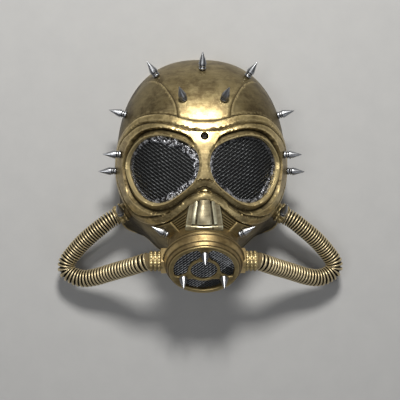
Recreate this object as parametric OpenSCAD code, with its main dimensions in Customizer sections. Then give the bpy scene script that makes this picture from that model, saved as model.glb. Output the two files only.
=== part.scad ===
// Spiked costume gas mask with a filter canister and two side hoses.
// It lies on its rim, face up: +Z out of the face, +Y to the crown, +X across.

/* [Face shell] */
// Width of the shell across the temples
shell_w = 182; // [176:2:188]
// Height of the face above the rim plane
dome_h = 108; // [104:1:112]
// Thickness of the moulded shell
wall = 2.6; // [2.2:0.1:3]
// How far the goggle frame stands proud of the shell
frame_rise = 3; // [2:0.5:4]

/* [Filter canister] */
// Outer radius of the front ring
ring_r = 35; // [34:0.5:36]
// Outer radius of the lip behind the front ring
lip_r = 41.5; // [40:0.5:43]
// Tilt of the canister's axis towards the chin
filter_tilt = 45; // [43:1:50]
// Width of each of the three spokes
spoke_w = 8; // [6:0.5:10]

/* [Hoses] */
// Outer diameter of the corrugated hoses
hose_d = 18.5; // [17:0.5:19]

/* [Spikes] */
// Length of a spike from its base flange to its tip
spike_len = 17.5; // [15:0.5:19]
// Diameter of a spike's cone at its foot
spike_d = 8.5; // [7:0.5:8.5]

/* [Head strap] */
// Width of the elastic band
strap_w = 18; // [14:1:18]
// Thickness of the elastic band
strap_t = 1.4; // [1:0.1:1.6]

/* [Hidden] */
$fn = 64;

LEFT = -1;
RIGHT = 1;

gold = [0.62, 0.5, 0.24];
dark_gold = [0.42, 0.33, 0.16];
silver = [0.78, 0.79, 0.8];
black = [0.08, 0.08, 0.08];

// ---------- the dome that the face shell follows ----------

half_w = shell_w / 2;
centre_y = 3.5;          // middle of the dome along Y
crown_len = 117.5;       // from there to the crown
outline_power = 2.37;    // squareness of the rim's upper half
// Rim radius below the temples, every 15 degrees from the side to the chin
jaw_r = [half_w, half_w + 1, half_w + 3.5, half_w + 1.5, half_w + 4, half_w + 10, half_w + 13];
jaw_step = 15;
side_power = 2.6;        // squareness of the dome's section at the temples,
crown_power = 2.15;      // towards the crown,
chin_power = 2.8;        // and towards the chin
nose_h = 6;              // ridge of the nose over the dome
nose_y = -21;
nose_w = 16;
nose_len = 38;

function lerp(a, b, t) = a + (b - a) * t;
function smooth(t) = let (u = max(0, min(1, t))) u * u * (3 - 2 * u);
function spline(p0, p1, p2, p3, t) =
    0.5 * (2 * p1 + (p2 - p0) * t + (2 * p0 - 5 * p1 + 4 * p2 - p3) * t * t
           + (3 * p1 - p0 - 3 * p2 + p3) * t * t * t);

// An angle round the rim, folded onto its right half: 90 crown, -90 chin
function wrapped(a) = a > 180 ? a - 360 : a;
function fold(a) = let (b = wrapped(a)) b > 90 ? 180 - b : b < -90 ? -180 - b : b;

function jaw_at(i) = jaw_r[i < 0 ? -i : i > 6 ? 12 - i : i];
function jaw_radius(b) =
    let (u = -b / jaw_step, i = min(floor(u), 5))
    spline(jaw_at(i - 1), jaw_at(i), jaw_at(i + 1), jaw_at(i + 2), u - i);
function crown_radius(b) =
    pow(pow(cos(b) / half_w, outline_power) + pow(sin(b) / crown_len, outline_power),
        -1 / outline_power);
function rim_radius(a) = let (b = fold(a)) b >= 0 ? crown_radius(b) : jaw_radius(b);
function section_power(a) =
    let (b = fold(a))
    lerp(side_power, b >= 0 ? crown_power : chin_power, sin(b) * sin(b));
function nose_bump(x, y, z) =
    nose_h * z / dome_h * exp(-pow(x / nose_w, 2) - pow((y - nose_y) / nose_len, 2));

// The point on the dome at angle a round it and climb t, 0 at the rim, 90 on top
// How far the rim turns outward at the jaw and beside the chin, at which angle, how widely
jaw_flare = [12, -38, 11];
chin_flare = [4, -62, 9];
flare_h = 45;            // height at which the flare has gone
function flare_part(f, b) = f[0] * exp(-pow((b - f[1]) / f[2], 2));
function flare(a, z) =
    let (b = fold(a))
    (flare_part(jaw_flare, b) + flare_part(chin_flare, b)) * pow(max(0, 1 - z / flare_h), 2);

function dome_point(a, t) =
    let (n = section_power(a),
         z = dome_h * pow(sin(t), 2 / n),
         r = rim_radius(a) * pow(cos(t), 2 / n) + flare(a, z),
         x = r * cos(a),
         y = centre_y + r * sin(a))
    [x, y, z + nose_bump(x, y, z)];
function dome_normal(a, t) =
    let (lo = max(t - 0.5, 0.1),
         hi = min(t + 0.5, 89.9),
         along = dome_point(a + 0.5, min(t, 89.9)) - dome_point(a - 0.5, min(t, 89.9)),
         up = dome_point(a, hi) - dome_point(a, lo),
         n = cross(along, up))
    t > 89.5 ? [0, 0, 1] : n / norm(n);

// Height of the dome over a place on the rim plane
function dome_z(x, y) =
    let (a = atan2(y - centre_y, x),
         n = section_power(a),
         r = min(norm([x, y - centre_y]) / rim_radius(a), 1),
         z = dome_h * pow(1 - pow(r, n), 1 / n))
    z + nose_bump(x, y, z);
function dome_slope(x, y) =
    let (n = [dome_z(x - 0.5, y) - dome_z(x + 0.5, y), dome_z(x, y - 0.5) - dome_z(x, y + 0.5), 1])
    n / norm(n);
// A point a given depth under (or over) the dome, over that place
function under_dome(x, y, depth) = [x, y, dome_z(x, y)] - depth * dome_slope(x, y);

// Puts its children on the dome with +Z along its normal and +Y up the face
module on_dome(x, y, lift) {
    n = dome_slope(x, y);
    translate(under_dome(x, y, -lift))
        rotate([asin(-n[1]), atan2(n[0], n[2]), 0])
            children();
}

// ---------- a closed solid between an outer and an inner skin of rings ----------

// rings[0] is the outer skin's edge; the last two entries are the outer and inner tops
module shell_solid(outer, inner, outer_top, inner_top) {
    rings = len(outer);
    n = len(outer[0]);
    flat_outer = [for (ring = outer) each ring];
    flat_inner = [for (ring = inner) each ring];
    base = rings * n;
    top_o = 2 * base;
    top_i = top_o + 1;
    points = concat(flat_outer, flat_inner, [outer_top, inner_top]);
    faces = [
        for (k = [0 : rings - 2]) for (j = [0 : n - 1])
            let (a = k * n + j, b = k * n + (j + 1) % n)
            each [[b, a, a + n], [b, a + n, b + n]],
        for (k = [0 : rings - 2]) for (j = [0 : n - 1])
            let (a = base + k * n + j, b = base + k * n + (j + 1) % n)
            each [[a, b, a + n], [b, b + n, a + n]],
        for (j = [0 : n - 1])
            let (a = (rings - 1) * n + j, b = (rings - 1) * n + (j + 1) % n)
            each [[b, a, top_o], [base + a, base + b, top_i]],
        for (j = [0 : n - 1])
            let (a = j, b = (j + 1) % n)
            each [[a, b, base + a], [b, base + b, base + a]]
    ];
    polyhedron(points, faces, convexity = 6);
}

// ---------- face shell ----------

round_steps = 84;        // facets round the dome
climb_steps = 18;        // facets from the rim to the top
eye_x = 42;              // middle of each goggle lobe
eye_y = 0;
lobe_w = 47;             // half width and half height of a lobe
lobe_h = 48;

// 1 inside the raised goggle frame, 0 outside it
function goggle(p) =
    let (d = min([for (s = [LEFT, RIGHT])
                  norm([(p[0] - s * eye_x) / lobe_w, (p[1] - eye_y) / lobe_h])]))
    smooth((1.06 - d) / 0.1);

function outer_skin(a, t) =
    let (p = dome_point(a, t))
    t == 0 ? p : p + frame_rise * goggle(p) * dome_normal(a, t);
function inner_skin(a, t) =
    let (p = dome_point(a, t) - wall * dome_normal(a, t))
    t == 0 ? [p[0], p[1], 0] : p;

module dome_solid() {
    angles = [for (j = [0 : round_steps - 1]) j * 360 / round_steps];
    climbs = [for (k = [0 : climb_steps - 1]) k * 90 / climb_steps];
    shell_solid([for (t = climbs) [for (a = angles) outer_skin(a, t)]],
                [for (t = climbs) [for (a = angles) inner_skin(a, t)]],
                outer_skin(0, 90), inner_skin(0, 90));
}

// Outline of the right eye opening, seen from the front
eye_corners = [[8, 8], [11, 20], [22, 29], [38, 32], [56, 29], [69, 18], [75, 0],
               [72, -18], [61, -30], [45, -34], [29, -31], [16, -21], [8, -6]];
corner_steps = 3;
function eye_corner(i) = eye_corners[(i + 13) % 13];
eye_outline = [for (i = [0 : 12]) for (k = [0 : corner_steps - 1])
               spline(eye_corner(i - 1), eye_corner(i), eye_corner(i + 1), eye_corner(i + 2),
                      k / corner_steps)];

module eye_cutter(side) {
    scale([side, 1, 1])
        translate([0, 0, 15])
            linear_extrude(dome_h + 15)
                polygon(eye_outline);
}

screw_hole_y = 31;
screw_hole_r = 4.2;

module face_shell() {
    color(gold)
        difference() {
            dome_solid();
            for (side = [LEFT, RIGHT])
                eye_cutter(side);
            translate([0, screw_hole_y, dome_h - 20])
                cylinder(r = screw_hole_r, h = 40);
            canister_space();
            for (side = [LEFT, RIGHT])
                cheek_port_space(side);
        }
}

// ---------- eye meshes and the glue bead that holds each one ----------

mesh_depth = 4.4;        // outer face of the mesh under the dome
mesh_t = 0.8;
bead_r = 1.3;
lens_x = 42;
lens_y = -1;
lens_rings = 7;

function lens_spot(p, grow) = [lens_x, lens_y] + grow * (p - [lens_x, lens_y]);
function lens_point(p, grow, depth, side) =
    let (q = lens_spot(p, grow), s = under_dome(q[0], q[1], depth))
    [side * s[0], s[1], s[2]];

module eye_mesh(side) {
    outline = side == LEFT ? eye_outline : [for (i = [len(eye_outline) - 1 : -1 : 0]) eye_outline[i]];
    grows = [for (k = [0 : lens_rings - 1]) 1.06 * (1 - k / lens_rings)];
    outer = [for (g = grows) [for (p = outline) lens_point(p, g, mesh_depth, side)]];
    inner = [for (g = grows) [for (p = outline) lens_point(p, g, mesh_depth + mesh_t, side)]];
    middle = [lens_x, lens_y];
    color(black)
        shell_solid(outer, inner, lens_point(middle, 1, mesh_depth, side),
                    lens_point(middle, 1, mesh_depth + mesh_t, side));
}

// A closed tube of round section through a loop of centres
module ring_tube(centres, r, sides) {
    n = len(centres);
    points = [for (i = [0 : n - 1])
              let (ahead = centres[(i + 1) % n] - centres[(i + n - 1) % n],
                   t = ahead / norm(ahead),
                   u = cross(t, [0, 0, 1]) / norm(cross(t, [0, 0, 1])),
                   v = cross(u, t))
              for (k = [0 : sides - 1])
                  centres[i] + r * (cos(k * 360 / sides) * u + sin(k * 360 / sides) * v)];
    faces = [for (i = [0 : n - 1]) for (k = [0 : sides - 1])
             let (a = i * sides + k, b = i * sides + (k + 1) % sides,
                  c = ((i + 1) % n) * sides + k, d = ((i + 1) % n) * sides + (k + 1) % sides)
             each [[a, b, c], [b, d, c]]];
    polyhedron(points, faces, convexity = 6);
}

module eye_bead(side) {
    outline = [for (i = [len(eye_outline) - 1 : -1 : 0]) eye_outline[i]];
    color(black)
        scale([side, 1, 1])
            ring_tube([for (p = outline) lens_point(p, 0.965, mesh_depth - bead_r - 0.1, RIGHT)],
                      bead_r, 8);
}

// ---------- filter canister ----------

chin_reach = 126.7;      // lowest point of the canister, measured like centre_y
filter_y = ring_r * cos(filter_tilt) - chin_reach;
filter_z = 98;
body_r = 35.7;           // tube of the canister behind its lip
bore_r = 31;
ledge_r = 29;            // the mesh rests on this narrower bore
tube_bore_r = 33.2;      // and behind the ledge the tube is wide again
mesh_seat = -6;
lip_z = -12;
lip_t = 1.8;
grille_t = 2;
body_back = -52;
collar_r = 38.5;
collar_front = -14.2;
collar_back = -20;
collar_bore_r = 36;
port_y = -8;             // middle of the hose ports, in the canister's own frame
port_z = -20;
block_x = 43;            // face of the side block that a hose port sits on
block_half = 10;

// Places its children in the canister's frame: +Z out of the filter
module at_filter() {
    translate([0, filter_y, filter_z])
        rotate([filter_tilt, 0, 0])
            children();
}

// The room that the canister needs in the shell and under the nose duct
module canister_space() {
    gap = 0.3;
    at_filter() {
        translate([0, 0, body_back - 10])
            cylinder(r = body_r + gap, h = 70);
        translate([0, 0, collar_back - gap])
            cylinder(r = collar_r + gap, h = 50);
        translate([-block_x - gap, port_y - block_half - gap, port_z - block_half - gap])
            cube([2 * (block_x + gap), 2 * (block_half + gap), 2 * block_half + 24]);
    }
}

module side_blocks(grow) {
    translate([-block_x, port_y - block_half - grow, port_z - block_half - grow])
        cube([2 * block_x, 2 * (block_half + grow), 2 * block_half - 1 + 2 * grow]);
}

module canister_body() {
    color(gold)
        at_filter()
            difference() {
                union() {
                    rotate_extrude()
                        polygon([[0, body_back], [body_r, body_back], [body_r, lip_z - lip_t],
                                 [lip_r, lip_z - lip_t], [lip_r, lip_z], [ring_r + 1, -grille_t],
                                 [0, -grille_t]]);
                    side_blocks(0);
                }
                translate([0, 0, mesh_seat])
                    cylinder(r = bore_r, h = 20);
                translate([0, 0, body_back - 1])
                    cylinder(r = ledge_r, h = 80);
                translate([0, 0, body_back - 1])
                    cylinder(r = tube_bore_r, h = mesh_seat - 2 - body_back + 1);
            }
}

module canister_collar() {
    color(dark_gold)
        at_filter()
            difference() {
                rotate_extrude()
                    polygon([[collar_bore_r, collar_back], [collar_r - 1, collar_back],
                             [collar_r, collar_back + 2], [collar_r, collar_front - 2],
                             [collar_r - 1, collar_front], [collar_bore_r, collar_front]]);
                side_blocks(0.3);
            }
}

hub_r = 16;              // outer and inner radius of the grille's middle ring
hub_bore_r = 13.3;
grille_bore_r = 30.5;
spoke_angles = [90, 210, 330];

module filter_grille() {
    color(gold)
        at_filter()
            translate([0, 0, -grille_t]) {
                difference() {
                    union() {
                        cylinder(r = hub_r, h = grille_t);
                        difference() {
                            cylinder(r = ring_r, h = grille_t);
                            translate([0, 0, -1])
                                cylinder(r = grille_bore_r, h = grille_t + 2);
                        }
                        for (a = spoke_angles)
                            rotate([0, 0, a])
                                translate([hub_r - 2, -spoke_w / 2, 0])
                                    cube([grille_bore_r - hub_r + 3, spoke_w, grille_t]);
                    }
                    translate([0, 0, -1])
                        cylinder(r = hub_bore_r, h = grille_t + 2);
                }
            }
}

module filter_mesh() {
    color(black)
        at_filter()
            translate([0, 0, mesh_seat])
                cylinder(r = bore_r - 0.2, h = 1);
}

// ---------- nose duct and vent louvres ----------

duct_top_y = -35;
duct_foot_y = -58;
duct_rise = 6;
duct_lift = 1.2;
duct_slots = [-8, 8];

// A flat slab that leans with the nose, over an outline drawn from the front
module nose_slab(outline, rise, thick) {
    lean = atan2(dome_z(0, duct_top_y) - dome_z(0, duct_foot_y), duct_top_y - duct_foot_y);
    translate([0, duct_top_y, dome_z(0, duct_top_y) + rise])
        rotate([lean, 0, 0])
            linear_extrude(thick)
                polygon([for (p = outline) [p[0], p[1] - duct_top_y]]);
}

module nose_duct() {
    color(gold)
        difference() {
            nose_slab([[-12, duct_top_y], [12, duct_top_y], [16, duct_foot_y], [-16, duct_foot_y]],
                      duct_lift, duct_rise);
            for (x = duct_slots)
                nose_slab([[x - 1, duct_top_y - 3], [x + 1, duct_top_y - 3],
                           [x * 1.2 + 1, duct_foot_y + 6], [x * 1.2 - 1, duct_foot_y + 6]],
                          duct_lift + 2, duct_rise);
            canister_space();
        }
}

louvre_spot = [22, -49.5];
louvre_slats = 3;

module vent_louvre(side) {
    color(dark_gold)
        scale([side, 1, 1])
            difference() {
                on_dome(louvre_spot[0], louvre_spot[1], 1.5)
                    rotate([0, 0, -20])
                        difference() {
                            translate([-3.5, -9, 0])
                                cube([7, 12, 2.4]);
                            for (k = [0 : louvre_slats - 1])
                                translate([-2.7, -6 + 3 * k, 1])
                                    cube([5.4, 1.4, 3]);
                        }
                canister_space();
            }
}

// ---------- hose ports ----------

port_r = 10.5;
port_len = 12;
cheek_port = [81, -43.5, 38];
cheek_dir = [0.84, -0.54, 0];
cheek_port_len = 9.5;
cheek_plug_len = 5;      // reach of the port's plug inside the shell
flange_t = 4;

module filter_port(side) {
    color(gold)
        at_filter()
            translate([side * block_x, port_y, port_z])
                rotate([0, side * 90, 0]) {
                    cylinder(r = port_r - 1, h = port_len);
                    for (z = [0 : 3 : port_len - 1])
                        translate([0, 0, z])
                            cylinder(r = port_r, h = 2);
                }
}

// Places its children on a cheek port: +Z out of the port, 0 at the shell
module at_cheek_port(side) {
    scale([side, 1, 1])
        translate(cheek_port)
            rotate([0, 90, atan2(cheek_dir[1], cheek_dir[0])])
                children();
}

module cheek_port_space(side) {
    at_cheek_port(side) {
        translate([0, 0, -cheek_plug_len - 5])
            cylinder(r = port_r - 1.4, h = 40);
        translate([0, 0, cheek_port_len - flange_t - 0.3])
            cylinder(r = port_r + 0.3, h = 20);
    }
}

module cheek_port(side) {
    color(gold)
        at_cheek_port(side) {
            translate([0, 0, -cheek_plug_len])
                cylinder(r = port_r - 1.5, h = cheek_port_len + cheek_plug_len);
            translate([0, 0, cheek_port_len - flange_t])
                cylinder(r = port_r, h = flange_t);
        }
}

// ---------- hoses: from the cheek port, out and down, and back up to the filter ----------

port_mouth_x = block_x + port_len;
port_mouth = [port_mouth_x,
              filter_y + port_y * cos(filter_tilt) - port_z * sin(filter_tilt),
              filter_z + port_y * sin(filter_tilt) + port_z * cos(filter_tilt)];
hose_start = cheek_port + cheek_port_len * cheek_dir / norm(cheek_dir);
hose_middle = [[97, -53, 38], [106, -60, 37], [116, -68, 35], [126, -77, 32], [135, -87, 29],
               [142.5, -97, 27], [143, -106.5, 26], [134.5, -113, 27.5], [124, -115, 30.5],
               [112, -113, 36], [100, -109, 43.5], [89, -105.2, 52], [79, -102, 60],
               [70, -98.8, 68], [62.5, -96, 74.5]];
hose_route = concat([hose_start], hose_middle, [port_mouth]);
hose_sides = 12;
hose_cuts = 2;           // rings from one route point to the next

function route_at(i) = hose_route[max(0, min(i, len(hose_route) - 1))];
hose_centres = [for (i = [0 : len(hose_route) - 2]) for (k = [0 : hose_cuts - 1])
                spline(route_at(i - 1), route_at(i), route_at(i + 1), route_at(i + 2),
                       k / hose_cuts),
                port_mouth];

module hose(side) {
    n = len(hose_centres);
    tangents = [for (i = [0 : n - 1])
                i == 0 ? cheek_dir : i == n - 1 ? [-1, 0, 0] : hose_centres[i + 1] - hose_centres[i - 1]];
    points = [for (i = [0 : n - 1])
              let (t = tangents[i] / norm(tangents[i]),
                   u = cross(t, [0, 0, 1]) / norm(cross(t, [0, 0, 1])),
                   v = cross(u, t))
              for (k = [0 : hose_sides - 1])
                  let (a = k * 360 / hose_sides)
                  hose_centres[i] + hose_d / 2 * (cos(a) * u + sin(a) * v)];
    walls = [for (i = [0 : n - 2]) for (k = [0 : hose_sides - 1])
             let (a = i * hose_sides + k, b = i * hose_sides + (k + 1) % hose_sides)
             each [[a, b, a + hose_sides], [b, b + hose_sides, a + hose_sides]]];
    ends = [[for (k = [hose_sides - 1 : -1 : 0]) k],
            [for (k = [0 : hose_sides - 1]) (n - 1) * hose_sides + k]];
    color(dark_gold)
        scale([side, 1, 1])
            polyhedron(points, concat(walls, ends), convexity = 6);
}

// ---------- spikes ----------

stud_r = 1.5;
stud_len = 5;

// A silver cone on a grooved foot, standing on z = 0
module spike() {
    foot_r = spike_d / 2 - 0.4;
    neck_r = spike_d / 2 - 1.5;
    rotate_extrude($fn = 40)
        polygon([[0, 0], [foot_r, 0], [foot_r, 1.4], [neck_r, 1.4], [neck_r, 2.2], [foot_r, 2.2],
                 [foot_r, 3.6], [neck_r, 3.6], [neck_r, 4.4], [spike_d / 2, 4.4],
                 [spike_d / 2, 5.2], [0.3, spike_len], [0, spike_len]]);
}

// Puts its children on the shell at x, y, leaning to heading and rise in degrees
module on_shell(x, y, lift, heading, rise, side) {
    scale([side, 1, 1])
        translate([x, y, dome_z(x, y)] + lift * dome_slope(x, y))
            rotate([0, 90 - rise, heading])
                children();
}

// x, y, height over the dome, heading and rise of the spikes on the right half
crown_spike = [0, 103, 1.5, 90, 20];
crown_side_spike = [47, 97, 1.5, 55, 20];
forehead_spike = [20, 69, 1, 65, 50];
temple_spikes = [[79, 57, 1.5, 16, 12], [81.5, 15, 4, 0, 14], [87, -1, 4, -3, 14]];
snout_spike = [35, -64, 3.6, 27, 14];

module spike_row(rows, side) {
    for (s = rows)
        on_shell(s[0], s[1], s[2], s[3], s[4], side)
            spike();
}

module crown_spikes() {
    color(silver) {
        spike_row([crown_spike, crown_side_spike], RIGHT);
        spike_row([crown_side_spike], LEFT);
    }
}

module forehead_spikes() {
    color(silver)
        for (side = [LEFT, RIGHT])
            spike_row([forehead_spike], side);
}

module temple_row(side) {
    color(silver)
        spike_row(temple_spikes, side);
}

module snout_spikes() {
    color(silver)
        for (side = [LEFT, RIGHT])
            spike_row([snout_spike], side);
}

// The cheek spikes stand on the cheek ports
cheek_spike = [85, -46, 49.9];

module cheek_spikes() {
    color(silver)
        for (side = [LEFT, RIGHT])
            scale([side, 1, 1])
                translate(cheek_spike)
                    rotate([0, 90 - 55, 75])
                        spike();
}

grille_spike_r = 23.5;
cone_len = 13.5;         // the grille's spikes are let in up to their cones
cone_foot_h = 1;

module bare_cone() {
    rotate_extrude($fn = 40)
        polygon([[0, 0], [spike_d / 2, 0], [spike_d / 2, cone_foot_h], [0.3, cone_len],
                 [0, cone_len]]);
}

module grille_spikes() {
    color(silver)
        at_filter()
            for (a = spoke_angles)
                rotate([0, 0, a])
                    translate([grille_spike_r, 0, 0])
                        bare_cone();
}

// One screw from inside the shell into each spike that stands on it
screw_head_r = 3;
screw_head_t = 1.6;
screw_spikes = concat([crown_side_spike, forehead_spike], temple_spikes);

module spike_screw(depth) {
    translate([0, 0, -depth])
        cylinder(r = stud_r, h = depth + stud_len, $fn = 24);
    translate([0, 0, -depth - screw_head_t])
        cylinder(r = screw_head_r, h = screw_head_t, $fn = 24);
}

// How far down a spike's axis its screw head clears the inside of the wall
function heading_vector(s) = [cos(s[3]) * cos(s[4]), sin(s[3]) * cos(s[4]), sin(s[4])];
function screw_depth(s) =
    let (c = heading_vector(s) * dome_slope(s[0], s[1]))
    (wall + s[2] + screw_head_r * sqrt(1 - c * c) + 0.4) / c;

module spike_screws() {
    color(silver)
        for (side = [LEFT, RIGHT])
            for (s = concat(screw_spikes, side == RIGHT ? [crown_spike] : []))
                on_shell(s[0], s[1], s[2], s[3], s[4], side)
                    spike_screw(screw_depth(s));
}

module bridge_screw() {
    color(silver)
        translate([0, screw_hole_y, dome_z(0, screw_hole_y)]) {
            translate([0, 0, -1.4])
                cylinder(r = screw_hole_r - 0.4, h = 1.6);
            translate([0, 0, -9])
                cylinder(r = 1.6, h = 8.2);
            translate([0, 0, -6])
                cylinder(r = 5.5, h = 1.4);
        }
}

// ---------- head strap, tucked into the hollow of the shell ----------

strap_z = 3.5;           // lower edge of the band
strap_x = 83.6;          // outer face of the band at the rivets
strap_end_y = 4;
strap_back_y = 83;       // outer face of the band at its far end
strap_corner = 48;
rivet_y = 14;
rivet_r = 2;
plate_t = 2.8;
strap_mid_z = strap_z + strap_w / 2;

// The U outline of the band, drawn to its outer or inner face
module strap_outline(inset) {
    x = strap_x - inset;
    back = strap_back_y - inset;
    r = strap_corner - inset;
    translate([-x, strap_end_y - inset])
        square([2 * x, back - r - strap_end_y + inset]);
    translate([-x + r, 0])
        square([2 * (x - r), back]);
    for (side = [LEFT, RIGHT])
        translate([side * (x - r), back - r])
            circle(r = r);
}

module head_strap() {
    color([0.1, 0.1, 0.11])
        difference() {
            translate([0, 0, strap_z])
                linear_extrude(strap_w)
                    difference() {
                        strap_outline(0);
                        strap_outline(strap_t);
                        translate([-2 * strap_x, strap_end_y - 100])
                            square([4 * strap_x, 100]);
                    }
            translate([-strap_x - 1, rivet_y, strap_mid_z])
                rotate([0, 90, 0])
                    cylinder(r = rivet_r + 0.08, h = 2 * strap_x + 2);
        }
}

module strap_plate(side) {
    color(dark_gold)
        scale([side, 1, 1])
            translate([strap_x + 0.4, rivet_y - 10, strap_z - 1])
                cube([plate_t, 20, strap_w + 2]);
}

module strap_rivet(side) {
    color(silver)
        scale([side, 1, 1])
            translate([strap_x - strap_t - 1.5, rivet_y, strap_mid_z])
                rotate([0, 90, 0]) {
                    cylinder(r = 4, h = 1.2);
                    cylinder(r = rivet_r, h = 4.5);
                }
}

// A tri-glide: two bars behind the band, one in front, joined over its edges
glide_w = 24;
glide_bar = 4;
glide_t = 1.8;
glide_gap = 0.3;

module strap_adjuster() {
    rail = 2.4;
    face_y = strap_back_y + glide_gap;
    inner_y = strap_back_y - strap_t - glide_gap - glide_t;
    color(black) {
        for (x = [-glide_w / 2, glide_w / 2 - glide_bar])
            translate([x, face_y, strap_z - glide_gap - rail])
                cube([glide_bar, glide_t, strap_w + 2 * (glide_gap + rail)]);
        translate([-glide_bar / 2, inner_y, strap_z - glide_gap - rail])
            cube([glide_bar, glide_t, strap_w + 2 * (glide_gap + rail)]);
        for (z = [strap_z - glide_gap - rail, strap_z + strap_w + glide_gap])
            translate([-glide_w / 2, inner_y, z])
                cube([glide_w, face_y + glide_t - inner_y, rail]);
    }
}

// Moves the model so that its crown and its canister are equally far from the origin
module centred() {
    translate([0, (chin_reach - centre_y - crown_len) / 2, 0])
        children();
}

centred() face_shell();
centred() nose_duct();
centred() vent_louvre(LEFT);  // left_vent_louvre
centred() vent_louvre(RIGHT);  // right_vent_louvre
centred() eye_mesh(LEFT);  // left_eye_mesh
centred() eye_mesh(RIGHT);  // right_eye_mesh
centred() eye_bead(LEFT);  // left_eye_bead
centred() eye_bead(RIGHT);  // right_eye_bead
centred() canister_body();
centred() canister_collar();
centred() filter_grille();
centred() filter_mesh();
centred() filter_port(LEFT);  // left_filter_port
centred() filter_port(RIGHT);  // right_filter_port
centred() cheek_port(LEFT);  // left_cheek_port
centred() cheek_port(RIGHT);  // right_cheek_port
centred() hose(LEFT);  // left_hose
centred() hose(RIGHT);  // right_hose
centred() crown_spikes();
centred() forehead_spikes();
centred() temple_row(LEFT);  // left_temple_spikes
centred() temple_row(RIGHT);  // right_temple_spikes
centred() cheek_spikes();
centred() snout_spikes();
centred() grille_spikes();
centred() spike_screws();
centred() bridge_screw();
centred() head_strap();
centred() strap_adjuster();
centred() strap_plate(LEFT);  // left_strap_plate
centred() strap_plate(RIGHT);  // right_strap_plate
centred() strap_rivet(LEFT);  // left_strap_rivet
centred() strap_rivet(RIGHT);  // right_strap_rivet
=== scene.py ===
import math

import bpy
import numpy as np
from mathutils import Matrix, Vector
from mathutils.geometry import delaunay_2d_cdt


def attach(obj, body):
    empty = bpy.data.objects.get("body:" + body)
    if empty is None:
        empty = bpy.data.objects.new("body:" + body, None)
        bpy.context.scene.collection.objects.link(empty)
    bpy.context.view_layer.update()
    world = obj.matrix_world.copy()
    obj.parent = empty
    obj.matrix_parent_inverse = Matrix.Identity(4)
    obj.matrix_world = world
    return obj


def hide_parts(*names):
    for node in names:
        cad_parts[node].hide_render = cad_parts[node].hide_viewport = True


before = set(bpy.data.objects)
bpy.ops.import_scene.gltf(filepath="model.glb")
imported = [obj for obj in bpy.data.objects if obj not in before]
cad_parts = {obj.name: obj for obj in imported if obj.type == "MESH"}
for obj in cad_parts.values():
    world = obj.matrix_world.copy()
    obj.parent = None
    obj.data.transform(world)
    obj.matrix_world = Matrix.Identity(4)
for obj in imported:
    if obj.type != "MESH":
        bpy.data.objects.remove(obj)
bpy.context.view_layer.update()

# Everything below is worked out in millimetres, in the frame of the CAD model:
# +Z out of the face, +Y to the crown. Meshes are scaled to metres as they are made.
MM = 0.001
SHIFT = np.array([0, 2.85, 0])    # from the dome's own origin to the frame's
RNG = np.random.default_rng(7)

# ---------------------------------------------------------------- small maths


def smooth(t):
    t = np.clip(t, 0, 1)
    return t * t * (3 - 2 * t)


def lerp(a, b, t):
    return a + (b - a) * t


def unit(v):
    v = np.asarray(v, float)
    return v / np.maximum(np.linalg.norm(v, axis=-1, keepdims=True), 1e-12)


def angle_of(q):
    return np.degrees(np.arctan2(q[:, 1], q[:, 0]))


def polar(r, a):
    a = np.radians(a)
    return np.stack([r * np.cos(a), r * np.sin(a)], -1)


def circle(n, r=1.0):
    a = np.arange(n) * 2 * math.pi / n
    return np.stack([r * np.cos(a), r * np.sin(a)], 1)


def catmull_rom(a, b, c, d, t):
    """The curve from b to c, with a before and d after."""
    return 0.5 * (2 * b + (c - a) * t + (2 * a - 5 * b + 4 * c - d) * t * t
                  + (3 * b - a - 3 * c + d) * t ** 3)


def spline(points, steps, closed):
    """Catmull-Rom curve through points, with steps from one to the next."""
    p = np.asarray(points, float)
    n = len(p)
    k = np.arange(n if closed else n - 1)
    abcd = [p[(k + s) % n if closed else np.clip(k + s, 0, n - 1)] for s in (-1, 0, 1, 2)]
    out = [catmull_rom(*abcd, t) for t in np.arange(steps) / steps]
    curve = np.stack(out, 1).reshape(-1, p.shape[1])
    return curve if closed else np.vstack([curve, p[-1]])


def resample(curve, step, closed):
    """The same curve with points an even distance apart."""
    c = np.vstack([curve, curve[:1]]) if closed else curve
    s = np.concatenate([[0], np.cumsum(np.linalg.norm(np.diff(c, axis=0), axis=1))])
    n = max(int(round(s[-1] / step)), 3)
    at = np.arange(n) * s[-1] / n if closed else np.linspace(0, s[-1], n + 1)
    return np.stack([np.interp(at, s, c[:, k]) for k in range(c.shape[1])], 1)


def inside(poly, q):
    """True for the points q that lie in the closed outline poly."""
    x, y = q[:, 0], q[:, 1]
    hit = np.zeros(len(q), bool)
    a, b = poly, np.roll(poly, -1, 0)
    for (x0, y0), (x1, y1) in zip(a, b):
        if y0 == y1:
            continue
        hit ^= ((y0 > y) != (y1 > y)) & (x < (x1 - x0) * (y - y0) / (y1 - y0) + x0)
    return hit


def distance(line, q, closed):
    """Distance in space from the points q to the line."""
    a = line if closed else line[:-1]
    b = np.roll(line, -1, 0) if closed else line[1:]
    best = np.full(len(q), 1e9)
    for p0, p1 in zip(a, b):
        d = p1 - p0
        t = np.clip((q - p0) @ d / max(d @ d, 1e-9), 0, 1)
        best = np.minimum(best, np.linalg.norm(q - p0 - t[:, None] * d, axis=1))
    return best


# ---------------------------------------------------------------- the dome of the face

HALF_W, CENTRE_Y, CROWN_LEN, DOME_H = 91.0, 3.5, 117.5, 108.0
OUTLINE_POWER = 2.37
JAW_R = np.array([91, 92, 94.5, 92.5, 95, 101, 104.0])
SIDE_POWER, CROWN_POWER, CHIN_POWER = 2.6, 2.15, 2.8
NOSE_H, NOSE_Y, NOSE_W, NOSE_LEN = 6.0, -21.0, 16.0, 38.0
# where the jaw flares at its rim: how far, the angle and its spread
JAW_FLARE, CHIN_FLARE, FLARE_H = (12, -38, 11), (4, -62, 9), 45
WALL = 2.6


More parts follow.
